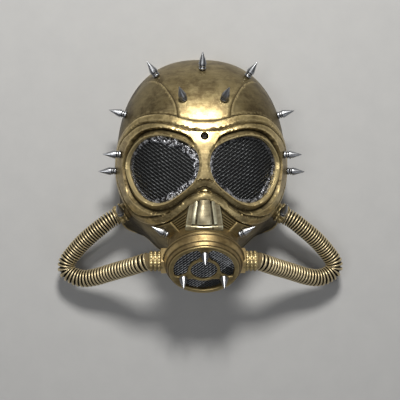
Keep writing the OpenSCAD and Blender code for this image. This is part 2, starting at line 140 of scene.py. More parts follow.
def fold(a):
    """The angle on the right half that mirrors angle a."""
    b = (np.asarray(a, float) + 180) % 360 - 180
    return np.where(b > 90, 180 - b, np.where(b < -90, -180 - b, b))


def rim_radius(a):
    b = fold(a)
    up = np.radians(np.clip(b, 0, 90))
    crown = ((np.cos(up) / HALF_W) ** OUTLINE_POWER
             + (np.sin(up) / CROWN_LEN) ** OUTLINE_POWER) ** (-1 / OUTLINE_POWER)
    u = np.clip(-b, 0, 90) / 15
    i = np.minimum(np.floor(u).astype(int), 5)
    t = u - i

    def jaw(k):
        k = np.abs(k)
        return JAW_R[np.where(k > 6, 12 - k, k)]

    return np.where(b >= 0, crown, catmull_rom(jaw(i - 1), jaw(i), jaw(i + 1), jaw(i + 2), t))


def section_power(a):
    b = fold(a)
    s = np.sin(np.radians(b)) ** 2
    return np.where(b >= 0, lerp(SIDE_POWER, CROWN_POWER, s), lerp(SIDE_POWER, CHIN_POWER, s))


def nose_factor(x, y):
    return 1 + NOSE_H / DOME_H * np.exp(-(x / NOSE_W) ** 2 - ((y - NOSE_Y) / NOSE_LEN) ** 2)


def flare(a, z):
    """How far the jaw turns outward near the rim."""
    b = fold(a)
    grow = sum(far * np.exp(-((b - at) / wide) ** 2) for far, at, wide in (JAW_FLARE, CHIN_FLARE))
    return grow * np.maximum(0, 1 - z / FLARE_H) ** 2


def dome_point(a, t):
    """Point of the dome at angle a and climb t, 0 at the rim and 90 on top."""
    n = section_power(a)
    ct = np.maximum(np.cos(np.radians(t)), 0)
    st = np.maximum(np.sin(np.radians(t)), 0)
    z = DOME_H * st ** (2 / n)
    r = rim_radius(a) * ct ** (2 / n) + flare(a, z)
    x = r * np.cos(np.radians(a))
    y = CENTRE_Y + r * np.sin(np.radians(a))
    return np.stack([x, y, z * nose_factor(x, y)], -1)


# Flat chart of the dome: u, v are the arc length from its top times cos and sin of the angle
ANGLES = np.arange(-180.0, 181.0, 1.0)
CLIMBS = 90 - 90 * np.linspace(0, 1, 241)
_grid = dome_point(ANGLES[:, None], CLIMBS[None, :])
_arc = np.concatenate([np.zeros((len(ANGLES), 1)),
                       np.cumsum(np.linalg.norm(np.diff(_grid, axis=1), axis=2), axis=1)], 1)
REACH = _arc[:, -1]
FRACTIONS = np.linspace(0, 1, 301)
CLIMB_AT = np.stack([np.interp(FRACTIONS * w[-1], w, CLIMBS) for w in _arc])


def reach(a):
    return np.interp((np.asarray(a) + 180) % 360 - 180, ANGLES, REACH)


def chart_to_dome(q):
    a = angle_of(q)
    f = np.clip(np.hypot(q[:, 0], q[:, 1]) / reach(a), 0, 1) * (len(FRACTIONS) - 1)
    i = np.minimum(f.astype(int), len(FRACTIONS) - 2)
    g = a + 180
    j = np.clip(g.astype(int), 0, len(ANGLES) - 2)
    u, v = f - i, g - j
    t = ((1 - v) * ((1 - u) * CLIMB_AT[j, i] + u * CLIMB_AT[j, i + 1])
         + v * ((1 - u) * CLIMB_AT[j + 1, i] + u * CLIMB_AT[j + 1, i + 1]))
    return dome_point(a, t)


def dome_to_chart(p):
    """Chart place of points on or near the dome."""
    x, y = p[:, 0], p[:, 1] - CENTRE_Y
    z = np.maximum(p[:, 2] / nose_factor(p[:, 0], p[:, 1]), 0)
    a = np.degrees(np.arctan2(y, x))
    n = section_power(a)
    r = np.maximum((np.hypot(x, y) - flare(a, z)) / rim_radius(a), 1e-9)
    t = np.degrees(np.arctan2((z / DOME_H) ** (n / 2), r ** (n / 2)))
    j = np.clip(np.round(a + 180).astype(int), 0, len(ANGLES) - 1)
    f = np.array([np.interp(-tt, -CLIMB_AT[k], FRACTIONS) for tt, k in zip(t, j)])
    return polar(f * reach(a), a)


def dome_normal(q):
    e = 0.4
    w = np.hypot(q[:, 0], q[:, 1])
    keep = np.minimum(w, reach(angle_of(q)) - 1.5 * e) / np.maximum(w, 1e-9)
    q = q * keep[:, None]
    du = chart_to_dome(q + [e, 0]) - chart_to_dome(q - [e, 0])
    dv = chart_to_dome(q + [0, e]) - chart_to_dome(q - [0, e])
    return unit(np.cross(du, dv))


def dome_z(x, y):
    a = np.degrees(np.arctan2(y - CENTRE_Y, x))
    n = section_power(a)
    r = np.minimum(np.hypot(x, y - CENTRE_Y) / rim_radius(a), 1)
    return DOME_H * (1 - r ** n) ** (1 / n) * nose_factor(x, y)


def dome_slope(x, y):
    e = 0.5
    return unit(np.stack([dome_z(x - e, y) - dome_z(x + e, y), dome_z(x, y - e) - dome_z(x, y + e),
                          np.full(np.shape(x), 2 * e)], -1))


def step_along(line3, line2, dist, closed):
    """Chart line a given distance to the left of a line on the dome, in real millimetres."""
    ahead = np.roll(line3, -1, 0) - np.roll(line3, 1, 0)
    if not closed:
        ahead[0], ahead[-1] = line3[1] - line3[0], line3[-1] - line3[-2]
    side = unit(np.cross(dome_normal(line2), unit(ahead)))
    return dome_to_chart(line3 + np.reshape(dist, (-1, 1)) * side)


# ---------------------------------------------------------------- making pieces


def linked(name, data):
    obj = bpy.data.objects.new(name, data)
    bpy.context.scene.collection.objects.link(obj)
    return obj


def put(name, verts, faces, material, slot, soft=None, node=None, body="mask", mats=None, **attrs):
    """A mesh piece from millimetre points, shaded smooth up to an angle of soft degrees. It may
    stand for a CAD node, and attrs are numbers on its points that its material reads."""
    mesh = bpy.data.meshes.new(name)
    mesh.from_pydata(((np.asarray(verts, float) + SHIFT) * MM).tolist(), [],
                     [list(map(int, f)) for f in faces])
    mesh.validate()
    obj = linked(name, mesh)
    for m in (material if isinstance(material, list) else [material]):
        mesh.materials.append(m)
    if mats is not None:
        mesh.polygons.foreach_set("material_index", np.asarray(mats, np.int32))
    mesh.polygons.foreach_set("use_smooth", [True] * len(mesh.polygons))
    if soft is not None:
        mesh.set_sharp_from_angle(angle=math.radians(soft))
    for key, values in attrs.items():
        layer = mesh.attributes.new(key, "FLOAT", "POINT")
        layer.data.foreach_set("value", np.full(len(verts), values, np.float32))
    mesh.update()
    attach(obj, body)
    if node:
        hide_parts(node)
    return obj


class Build:
    """Collects the points and faces of one mesh."""

    def __init__(self):
        self.verts, self.faces, self.mats, self.count = [], [], [], 0

    def add(self, verts, faces, mat=0):
        verts = np.asarray(verts, float).reshape(-1, 3)
        base = self.count
        self.verts.append(verts)
        self.faces += [[base + int(k) for k in f] for f in faces]
        self.mats += [mat] * len(faces)
        self.count += len(verts)
        return base

    def out(self):
        return np.vstack(self.verts), self.faces


def grid_faces(rows, cols, wrap_rows=False, wrap_cols=True, flip=False):
    faces = []
    for i in range(rows if wrap_rows else rows - 1):
        for j in range(cols if wrap_cols else cols - 1):
            a, b = i * cols + j, i * cols + (j + 1) % cols
            c, d = ((i + 1) % rows) * cols + (j + 1) % cols, ((i + 1) % rows) * cols + j
            faces.append([d, c, b, a] if flip else [a, b, c, d])
    return faces


def end_caps(rows, cols):
    """The two flat ends of a stack of rings."""
    return [list(range(cols))[::-1], list(range((rows - 1) * cols, rows * cols))]


def lathe(profile, sides, frame_at, closed=False):
    """Turned surface: profile of (radius, height) about +Z of the frame (origin, x, y, z)."""
    o, ex, ey, ez = frame_at
    ring = circle(sides)
    rows = [o + h * ez + r * (ring[:, :1] * ex + ring[:, 1:] * ey) for r, h in profile]
    return np.vstack(rows), grid_faces(len(profile), sides, wrap_rows=closed, flip=closed)


def rounded(profile, radius, closed=False, steps=2):
    """A profile with each corner cut by a small arc."""
    p = np.asarray(profile, float)
    out = []
    for i, b in enumerate(p):
        a, c = p[i - 1], p[(i + 1) % len(p)]
        la, lc = np.linalg.norm(a - b), np.linalg.norm(c - b)
        if min(la, lc) < 1e-6 or not closed and i in (0, len(p) - 1):
            out.append(b)
            continue
        cut = min(radius, 0.45 * la, 0.45 * lc)
        s, e = b + (a - b) / la * cut, b + (c - b) / lc * cut
        for t in np.linspace(0, 1, steps + 1):
            out.append((1 - t) ** 2 * s + 2 * t * (1 - t) * b + t * t * e)
    return np.array(out)


def axes(origin, z, x_hint):
    """Frame (origin, x, y, z) with z along a direction and x as near as it can be to a hint."""
    ez = unit(z)
    ex = np.asarray(x_hint, float)
    ex = unit(ex - (ex @ ez) * ez)
    return np.asarray(origin, float), ex, np.cross(ez, ex), ez


def tube(centres, radii, sides, up=(0, 0, 1)):
    """Round tube with flat ends; radii is one number or one for each centre."""
    c = np.asarray(centres, float)
    n = len(c)
    t = np.roll(c, -1, 0) - np.roll(c, 1, 0)
    t[0], t[-1] = c[1] - c[0], c[-1] - c[-2]
    t = unit(t)
    u = unit(np.cross(t, np.asarray(up, float)))
    v = np.cross(u, t)
    at = circle(sides)[None, :, :, None]
    r = np.broadcast_to(np.asarray(radii, float).reshape(-1, 1, 1), (n, 1, 1))
    verts = c[:, None] + r * (at[:, :, 0] * u[:, None] + at[:, :, 1] * v[:, None])
    faces = grid_faces(n, sides, flip=True) + [f[::-1] for f in end_caps(n, sides)]
    return verts.reshape(-1, 3), faces


# ---------------------------------------------------------------- materials


def scaled(colour, factor):
    return tuple(min(1, factor * c) for c in colour)


class Shade:
    """A new material with short names for its nodes. co is the place on the piece in metres."""

    def __init__(self, name):
        self.mat = bpy.data.materials.new(name)
        self.mat.use_nodes = True
        self.tree = self.mat.node_tree
        self.tree.nodes.clear()
        out = self.node("OutputMaterial")
        self.bsdf = self.node("BsdfPrincipled")
        self.fill(out, {0: self.bsdf.outputs[0]})
        self.co = self.node("TexCoord").outputs["Object"]

    def fill(self, item, inputs):
        """Links or sets the inputs of a node, by name or number."""
        for key, value in inputs.items():
            if isinstance(value, bpy.types.NodeSocket):
                self.tree.links.new(value, item.inputs[key])
            else:
                item.inputs[key].default_value = value

    def node(self, kind, inputs=None, **values):
        item = self.tree.nodes.new("ShaderNode" + kind)
        for key, value in values.items():
            setattr(item, key, value)
        self.fill(item, inputs or {})
        return item

    def math(self, op, a, b, clamp=False):
        return self.node("Math", {0: a, 1: b}, operation=op, use_clamp=clamp).outputs[0]

    def mul(self, a, b, clamp=False):
        return self.math("MULTIPLY", a, b, clamp)

    def add(self, a, b):
        return self.math("ADD", a, b)

    def top(self, a, b):
        return self.math("MAXIMUM", a, b)

    def ramp(self, factor, start, end, low=0, high=1):
        """Goes from low at start to high at end."""
        item = self.node("ValToRGB", {0: factor})
        for stop, pos, v in zip(item.color_ramp.elements, (start, end), (low, high)):
            stop.position = pos
            stop.color = (v, v, v, 1)
        return item.outputs[0]

    def mix(self, factor, a, b, blend="MIX"):
        a, b = ((*v, 1) if isinstance(v, tuple) else v for v in (a, b))
        return self.node("Mix", {0: factor, 6: a, 7: b}, data_type="RGBA",
                         blend_type=blend).outputs[2]

    def noise(self, scale, detail=3, rough=0.6, at=None):
        return self.node("TexNoise", {"Scale": scale, "Detail": detail, "Roughness": rough,
                                      "Vector": self.co if at is None else at}).outputs["Fac"]

    def wave(self, scale, distortion, direction):
        return self.node("TexWave", {"Vector": self.co, "Scale": scale, "Distortion": distortion},
                         bands_direction=direction).outputs["Fac"]

    def attribute(self, name):
        return self.node("Attribute", attribute_name=name).outputs["Fac"]

    def near_others(self, distance):
        return self.node("AmbientOcclusion", {"Distance": distance}, samples=6).outputs["AO"]

    def done(self, colour, rough, bump=None, **inputs):
        """Fills the shader; bump is (strength, distance, height)."""
        self.fill(self.bsdf, {"Base Color": colour, "Roughness": rough})
        self.fill(self.bsdf, {key.replace("_", " "): v for key, v in inputs.items()})
        if bump:
            item = self.node("Bump", dict(zip(("Strength", "Distance", "Height"), bump)))
            self.fill(self.bsdf, {"Normal": item.outputs[0]})
        return self.mat


GRIME = (0.115, 0.068, 0.028)


def antique(name, light, base, dark, rough=0.36, wash=0.8, grime=0.5):
    """Gold paint with a dark bronze wash and painted shade in its hollows, and bright edges that
    are partly rubbed wear and partly painted highlight.
    """
    s = Shade(name)
    fine, speck = s.noise(190, 5, 0.65), s.noise(700)
    brush = s.node("Mapping", {"Vector": s.co, "Scale": (60, 420, 140)}).outputs[0]
    streak = s.ramp(s.noise(1.0, 4, 0.6, brush), 0.45, 0.7)
    blot = s.add(s.mul(s.noise(26, 3, 0.55), 0.6), s.mul(fine, 0.4))
    colour = s.mix(s.ramp(blot, 0.38, 0.62), base, light)
    colour = s.mix(s.mul(streak, 0.25), colour, dark)
    colour = s.mix(s.mul(s.ramp(speck, 0.58, 0.72), 0.35 * grime), colour, dark)
    patchy = s.mul(s.ramp(s.noise(55, 8, 0.74), 0.46, 0.60), 0.95 * grime)
    colour = s.mix(patchy, colour, GRIME)
    point = s.node("NewGeometry").outputs["Pointiness"]
    hollow = s.ramp(point, 0.44, 0.497, 1, 0)
    # painted shade: darker where other surfaces come near, on top of the dark wash in the hollows
    dark_wash_and_shade = s.top(hollow, s.ramp(s.near_others(0.006), 0.25, 0.8, 1, 0))
    # more dark wash and painted shade comes from the numbers laid on the points
    dark_wash_and_shade = s.mul(s.top(dark_wash_and_shade, s.attribute("wash")), s.add(s.mul(fine, 0.9), 0.55))
    dark_wash_and_shade = s.mul(dark_wash_and_shade, wash, clamp=True)
    colour = s.mix(dark_wash_and_shade, colour, dark)
    # bright edges: partly rubbed wear, partly a painted highlight where edges catch the light
    edge = s.mul(s.ramp(point, 0.515, 0.56), 0.85)
    r = s.add(s.add(s.mul(fine, 0.16), rough - 0.08), s.mul(dark_wash_and_shade, 0.2))
    height = s.add(s.mul(fine, 0.7), s.mul(speck, 0.3))
    return s.done(s.mix(edge, colour, scaled(light, 1.35)), r, (0.25, 0.0006, height), Metallic=0.8)


def plated(name, colour, rough, wear):
    """Polished plated metal with fine turning marks and a few dull spots."""
    s = Shade(name)
    fine = s.noise(900)
    tint = s.mix(s.ramp(s.noise(160), 0.4, 0.75, 0, wear), colour, scaled(colour, 0.55))
    # painted shade: darker where other surfaces come near
    shade = s.ramp(s.near_others(0.003), 0.3, 0.85, 0.12, 1)
    return s.done(s.mix(1.0, tint, shade, "MULTIPLY"), s.add(s.mul(fine, 0.16), rough - 0.05),
                  (0.08, 0.0002, fine), Metallic=1.0)


def wire_material(name, colour, metallic, rough):
    s = Shade(name)
    c = s.mix(s.ramp(s.noise(90), 0.35, 0.65), colour, scaled(colour, 0.6))
    return s.done(c, s.add(s.mul(s.noise(1200), 0.2), rough - 0.1), Metallic=metallic)


def cloth_material(name, colour, pitch):
    """Dark woven backing cloth with a fine plain weave."""
    s = Shade(name)
    weave = s.mul(s.wave(1 / pitch, 0.6, "X"), s.wave(1 / pitch, 0.6, "Y"))
    return s.done(s.mix(weave, scaled(colour, 0.4), colour), 0.85, (0.4, 0.0004, weave))


def webbing_material(name, colour):
    """Woven elastic: fine lengthwise ribs crossed by small picks."""
    s = Shade(name)
    lane, fuzz = s.wave(330.0, 0.3, "Z"), s.noise(1500, 3, 0.7)
    c = s.mix(lane, scaled(colour, 0.45), colour)
    c = s.mix(s.mul(fuzz, 0.35), c, scaled(colour, 2.2))
    return s.done(c, 0.8, (0.5, 0.0005, s.add(lane, s.mul(fuzz, 0.5))), Sheen_Weight=0.3)


def glue_material(name):
    """Glossy black glue that turns to a crumbled silvery crust where it is thick."""
    s = Shade(name)
    crumbs = s.node("TexVoronoi", {"Vector": s.co, "Scale": 520.0}, feature="F1").outputs["Color"]
    cells = s.node("SeparateColor", {0: crumbs}).outputs[0]
    fine = s.noise(900, 4, 0.7)
    flake = s.mul(s.ramp(cells, 0.45, 0.8), s.attribute("crust"))
    return s.done(s.mix(flake, (0.012, 0.012, 0.014), (0.55, 0.56, 0.6)),
                  s.add(s.mul(fine, 0.2), 0.12), (0.9, 0.0009, s.add(cells, s.mul(fine, 0.8))),
                  Metallic=s.mul(flake, 0.7))


def plastic_material(name, colour):
    s = Shade(name)
    grain = s.noise(1400)
    return s.done(s.mix(s.noise(60), scaled(colour, 0.7), scaled(colour, 1.3)),
                  s.add(s.mul(grain, 0.2), 0.4), (0.3, 0.0002, grain))


M_GOLD = antique("antique_gold_paint", (0.66, 0.53, 0.27), (0.36, 0.275, 0.12),
                 (0.012, 0.009, 0.005), grime=0.62)
M_CAN = antique("canister_gold_paint", (0.66, 0.50, 0.24), (0.42, 0.30, 0.125),
                (0.012, 0.008, 0.004))
# a lighter copy of the gold paint for the nose duct: painted light, for a face that slopes towards
# the light
M_GOLD_PAINTED_LIT = antique("gold_paint_painted_lit", (0.90, 0.80, 0.54), (0.68, 0.57, 0.33),
                  (0.022, 0.017, 0.009))
M_OLIVE = antique("olive_gold_paint", (0.34, 0.26, 0.12), (0.22, 0.165, 0.07),
                  (0.025, 0.018, 0.009), rough=0.42)
M_GRILLE = antique("grille_gold_paint", (0.46, 0.36, 0.17), (0.30, 0.225, 0.095),
                   (0.025, 0.018, 0.009))
M_HOSE = antique("hose_gold_paint", (0.56, 0.47, 0.29), (0.42, 0.335, 0.185),
                 (0.003, 0.003, 0.003), wash=1.0, rough=0.38)
M_SILVER = plated("polished_plate", (0.42, 0.43, 0.45), rough=0.30, wear=0.5)
M_STEEL = plated("zinc_plate", (0.42, 0.42, 0.43), rough=0.32, wear=0.6)
# near-black steel for the bridge screw: the screw's own dark finish and painted shade for the hole
# it sits in
M_SCREW_SHADED = plated("dark_steel_with_painted_shade", (0.05, 0.045, 0.04), rough=0.45, wear=0.5)
# painted glint: grey and bright copies of the wire for the wires that catch the light; the black
# one is the wire's own colour
M_WIRE_DIM_GLINT = wire_material("mesh_wire_painted_dim_glint", (0.14, 0.15, 0.155), 0.5, 0.35)
M_WIRE_DARK = wire_material("mesh_wire_black", (0.016, 0.017, 0.019), 0.3, 0.4)
M_WIRE_GLINT = wire_material("mesh_wire_painted_glint", (0.75, 0.77, 0.80), 0.1, 0.45)
M_CLOTH = cloth_material("mesh_backing", (0.004, 0.004, 0.0045), 0.004)
M_GLUE = glue_material("glue_crust")
M_WEB = webbing_material("woven_elastic", (0.022, 0.022, 0.024))
M_PLASTIC = plastic_material("black_plastic", (0.03, 0.03, 0.032))

# ---------------------------------------------------------------- camera

CAMERA_AT = Vector((-0.041, -0.02875, 1.0))
CAMERA_AIM = Vector((0.0, -0.02875, 0.0))
LENS = 81.8


def make_camera():
    data = bpy.data.cameras.new("photo_camera")
    data.sensor_width, data.lens = 36, LENS
    data.clip_start, data.clip_end = 0.05, 20
    cam = linked("photo_camera", data)
    back = (CAMERA_AT - CAMERA_AIM).normalized()
    right = Vector((0, 1, 0)).cross(back).normalized()
    cam.location = CAMERA_AT
    cam.rotation_mode = "QUATERNION"
    cam.rotation_quaternion = Matrix((right, back.cross(right), back)).transposed().to_quaternion()
    bpy.context.scene.camera = cam


make_camera()

# ---------------------------------------------------------------- hoses

HOSE_D = 18.5
HOSE_ROUTE = [(88.9904, -48.6367, 38.0), (97, -53, 38), (106, -60, 37), (116, -68, 35),
              (126, -77, 32), (135, -87, 29), (142.5, -97, 27), (143, -106.5, 26),
              (134.5, -113, 27.5), (124, -115, 30.5), (112, -113, 36), (100, -109, 43.5),
              (89, -105.2, 52), (79, -102, 60), (70, -98.8, 68), (62.5, -96, 74.5),
              (55.0, -93.466, 78.201)]
# one rib: how far along it, and its radius next to that of the hose
RIB_PROFILE = [(0.0, 0.72), (0.34, 0.72), (0.39, 0.87), (0.46, 0.97), (0.56, 1.0), (0.76, 1.0),
               (0.88, 0.97), (0.95, 0.87)]
GROOVE_BELOW, CUFF, CUFF_LEN, LAST_R = 0.9, 0.92, 2.2, 0.70
RIB_CLOSE, RIB_OPEN = 3.0, 4.2
HOSE_SIDES = 28


def make_hose(side, name):
    fine = resample(spline(HOSE_ROUTE, 24, False), 0.25, False)
    s = np.concatenate([[0], np.cumsum(np.linalg.norm(np.diff(fine, axis=0), axis=1))])
    # the ribs open up from the cheek port to the canister
    cuts = [0.0]
    while cuts[-1] < s[-1] - 2.0:
        open_up = smooth((cuts[-1] / s[-1] - 0.25) / 0.35)
        cuts.append(cuts[-1] + lerp(RIB_CLOSE, RIB_OPEN, open_up))
    cuts = np.array(cuts) * s[-1] / cuts[-1]
    at, radius, groove = np.array(
        [(lerp(c0, c1, f), r * HOSE_D / 2, r < GROOVE_BELOW)
         for c0, c1 in zip(cuts[:-1], cuts[1:]) for f, r in RIB_PROFILE]
        + [(s[-1], LAST_R * HOSE_D / 2, 1)]).T
    near = np.minimum(at, s[-1] - at) < CUFF_LEN
    radius = np.where(near, np.maximum(radius, CUFF * HOSE_D / 2), radius)
    centres = np.stack([np.interp(at, s, fine[:, k]) for k in range(3)], 1) * [side, 1, 1]
    verts, faces = tube(centres, radius, HOSE_SIDES)
    # the grooves between the ribs turn near black: dark wash and painted shade
    obj = put(name + "_corrugated_hose", verts, faces, M_HOSE, "hose_gold", 60, name + "_hose",
              wash=np.repeat(groove, HOSE_SIDES))


SIDES = ((1, "right"), (-1, "left"))
for side, name in SIDES:
    make_hose(side, name)

# ---------------------------------------------------------------- outlines on the chart

EYE = [(5, 3), (7, 11), (12, 17), (21, 23), (32, 27), (46, 30), (62, 28.5), (75, 21.5), (86, 10),
       (89.5, -1), (87, -13), (79, -26), (68, -36), (57, -41), (48.5, -41.5), (37, -38), (26, -31),
       (15, -22.5), (8, -14), (5, -4)]
GOGGLE = [(0, 43.5), (11, 44), (23, 47), (35, 50.8), (48, 52.8), (62, 53.8), (73, 52.5), (86, 48),
          (98, 42), (112, 33), (122, 20), (127, 0), (121, -28), (108, -43), (95, -55), (86, -65),
          (73, -69.5), (57, -68), (42, -63), (31.5, -56.5), (23, -49.5), (15, -42.5), (7, -37.5),
          (0, -35)]
NOSE_FOOT = [(-10.5, -18), (-8.5, -17.3), (-4, -15), (0, -14.5), (4, -15), (8.5, -17.3),
             (10.5, -18)]
PANEL = [(27, 46), (27, 50), (29, 62), (35, 75), (47.5, 94), (63, 105.5), (80, 112), (97, 111),
         (112, 104), (126, 92)]


def mirror(line):
    line = np.asarray(line, float).copy()
    line[:, 0] *= -1
    return line[::-1]


EYE_R = resample(spline(EYE, 8, True), 1.3, True)
EYE_L = mirror(EYE_R)
GOGGLE_ROUND = GOGGLE + [(-x, y) for x, y in GOGGLE[-2:0:-1]]
GOGGLE_LINE = resample(spline(GOGGLE_ROUND, 8, True), 1.4, True)
FOOT_LINE = resample(spline(NOSE_FOOT, 8, False), 1.0, False)
PANEL_R = resample(spline(PANEL, 8, False), 1.4, False)
PANEL_L = mirror(PANEL_R)
SCREW_HOLE = np.array([0.0, 31.0])
SCREW_HOLE_R = 4.2
E3_R, E3_L, G3 = chart_to_dome(EYE_R), chart_to_dome(EYE_L), chart_to_dome(GOGGLE_LINE)
F3, P3_R, P3_L = chart_to_dome(FOOT_LINE), chart_to_dome(PANEL_R), chart_to_dome(PANEL_L)


def bezel_width(q):
    """How much wider the sunk bezel is than on top of the eyes: more below, none by the nose."""
    u, v = np.abs(q[:, 0]), q[:, 1]
    low = 1 + 0.42 * smooth((-v - 14) / 22) * smooth((u - 14) / 22)
    low = low + 0.5 * smooth((-v - 12) / 8) * (1 - smooth((u - 4) / 14))
    side = 1 - 0.35 * smooth((u - 72) / 14) * smooth((v + 32) / 22) * smooth((30 - v) / 20)
    nose = lerp(1, 0.06 + 0.94 * smooth((u - 6) / 12), smooth((v + 17) / 4))
    return nose * side * lerp(low, 1, smooth((v + 17) / 4))


def band_width(q):
    """How wide the outer band is next to its width over the eyes."""
    u, v = np.abs(q[:, 0]), q[:, 1]
    top = lerp(0.5, 0.22, smooth(u / 40)) * smooth((v - 20) / 20)
    return 1 + top + 0.45 * smooth((-v - 45) / 18) + 0.35 * smooth((u - 95) / 20)


INNER_PROFILE = np.array([(-1, 0.6), (0, 1.3), (0.35, 2.1), (1.0, 2.0), (1.5, 1.1), (5.0, -0.4),
                          (5.3, -1.7), (6.4, -1.7), (6.9, 2.7), (7.5, 3.4), (9.5, 3.2), (40, 3.2)])
OUTER_PROFILE = np.array([(-2, 0), (-0.9, 0), (-0.45, -0.45), (0, -0.3), (0.5, 2.3), (1.1, 2.8),
                          (4.0, 3.0), (6.4, 3.2), (7.1, 1.3), (8.0, 1.3), (8.7, 3.0), (9.6, 3.4),
                          (40, 3.3)])
PANEL_PROFILE = np.array([(-1.2, 0), (-0.5, -0.35), (-0.15, -0.2), (0.3, 0.9), (0.9, 1.25),
                          (3, 0.9), (30, 0.7)])


def chart_relief(q, p3):
    """Height over the dome of each chart place, and how much dark wash and painted shade lies
    there.
    """
    d_eye = np.minimum(distance(E3_R, p3, True), distance(E3_L, p3, True))
    in_eye = inside(EYE_R, q) | inside(EYE_L, q)
    d_eye = np.where(in_eye, -d_eye, d_eye)
    under_nose = distance(F3, p3, False)
    below_foot = (q[:, 1] < np.interp(np.abs(q[:, 0]), [0, 4, 8.5, 10.5], [-14.5, -15, -17.3, -18]))
    column = (~below_foot) & (np.abs(q[:, 0]) < 11) & (q[:, 1] < 12)
    d_in = np.where(below_foot, np.minimum(d_eye, under_nose), d_eye)
    width = bezel_width(q)
    d_in = np.where(d_in > 1, 1 + (d_in - 1) / width, d_in)
    h_in = np.interp(d_in, INNER_PROFILE[:, 0], INNER_PROFILE[:, 1])
    # the nose column runs down smoothly between the eyes, at the level of the frame
    calm = np.where(q[:, 1] > -15, 1 - smooth((np.abs(q[:, 0]) - 7) / 8), 0)
    flat = 3.2 - 1.3 * smooth((2.2 - d_eye) / 2.2)
    h_in = lerp(h_in, flat, calm)
    h_in = np.where(column, flat + 0.4 * smooth(under_nose / 5), h_in)
    in_goggle = inside(GOGGLE_LINE, q)
    d_out = distance(G3, p3, True) / band_width(q)
    d_out = np.where(in_goggle, d_out, -d_out)
    h_out = np.interp(d_out, OUTER_PROFILE[:, 0], OUTER_PROFILE[:, 1])
    h = np.where(in_goggle, np.minimum(h_in, h_out), h_out)
    # forehead panels
    d_panel = np.minimum(distance(P3_R, p3, False), distance(P3_L, p3, False))
    u, v = np.abs(q[:, 0]), q[:, 1]
    poly = np.vstack([PANEL_R, [[150, 80], [150, 30], [27, 30]]])
    beyond = inside(poly, np.stack([u, v], 1))
    d_panel = np.where(beyond, d_panel, -d_panel)
    h_panel = np.interp(d_panel, PANEL_PROFILE[:, 0], PANEL_PROFILE[:, 1])
    fade = smooth((138 - np.hypot(u, v)) / 20)
    h = np.where(in_goggle, h, h + h_panel * fade)
    # dark wash and painted shade: the recess and bezel, both grooves and the foot of each step
    bezel = smooth((d_in - 1.0) / 3.5) * (d_in < 6.9) * (1 - calm) * ~column
    recess = (d_in > 5.0) * (d_in < 6.7) * (1 - calm) * ~column
    groove = np.exp(-((d_out - 7.55) / 0.65) ** 4)
    foot = np.exp(-((d_out + 0.4) / 0.8) ** 2)
    seam = np.exp(-((d_panel + 0.4) / 0.5) ** 2) * ~in_goggle * fade
    nose_line = np.exp(-(under_nose / 0.8) ** 2) * (np.abs(q[:, 0]) < 11)
    # painted shade, with some darker paint, towards the rim
    edge = smooth((np.hypot(u, v) / reach(angle_of(q)) - 0.62) / 0.4)
    outside = np.where(in_goggle, 0.0, 1.0)
    # painted shade, with some darker paint, over the side panels and the sides of the face
    side_panel = outside * np.maximum(beyond * fade, smooth((u - 60) / 36)) * 0.74
    # painted shade towards the jaw
    below = outside * smooth((-v - 40) / 20) * 0.58
    # painted shade down the nose column, which faces the key light
    shaft = 0.62 * np.exp(-(np.abs(q[:, 0]) / 10) ** 4) * (v > -16) * smooth((26 - v) / 8)
    # painted shade, with some darker paint, towards the crown
    crown = outside * smooth((v - 58) / 42) * 0.62
    wash = np.maximum.reduce([0.85 * bezel * in_goggle, recess * in_goggle, groove,
                              0.95 * foot, 0.9 * seam, nose_line * 0.95, below, shaft, crown,
                              0.75 * edge * outside + side_panel])
    return h, np.clip(wash, 0, 1)


# ---------------------------------------------------------------- canister frame

TILT = math.radians(45)
CAN_O = np.array([0, -101.9513, 98.0])
CAN_Z = np.array([0, -math.sin(TILT), math.cos(TILT)])
CAN_Y = np.array([0, math.cos(TILT), math.sin(TILT)])
CAN_X = np.array([1.0, 0, 0])
CAN = (CAN_O, CAN_X, CAN_Y, CAN_Z)


def can(p):
    """Point given in the canister's own frame."""
    p = np.asarray(p, float)
    return CAN_O + p[..., :1] * CAN_X + p[..., 1:2] * CAN_Y + p[..., 2:3] * CAN_Z


def can_radius(p):
    d = p - CAN_O
    return np.hypot(d @ CAN_X, d @ CAN_Y), d @ CAN_Z


# ---------------------------------------------------------------- face shell

EYE_STEPS = (0.35, 1.0, 1.5, 3.2, 5.0, 5.3, 6.4, 6.9, 7.5)
GOGGLE_STEPS = (-0.9, -0.45, 0, 0.5, 1.1, 3.0, 5.0, 6.8, 7.2, 7.9, 8.3, 9.2)
FOOT_STEPS = (-0.6, -0.2, 0.2, 1.0, 1.5, 5.0, 5.3, 6.4, 6.9, 7.5)
PANEL_STEPS = (-1.2, -0.5, -0.15, 0.3, 0.9, 3.0)
GAP, GAP_GOGGLE, GAP_OUTSIDE = 0.30, 0.95, 1.3
FILL_GOGGLE, FILL_OUTSIDE = 1.7, 2.4
CUT_R, CUT_BACK, RIM_FADE, INNER_WASH = 34.4, -60, 4, 0.6


def clockwise(line):
    x, y = line.T
    return np.sum(x * np.roll(y, -1) - y * np.roll(x, -1)) < 0


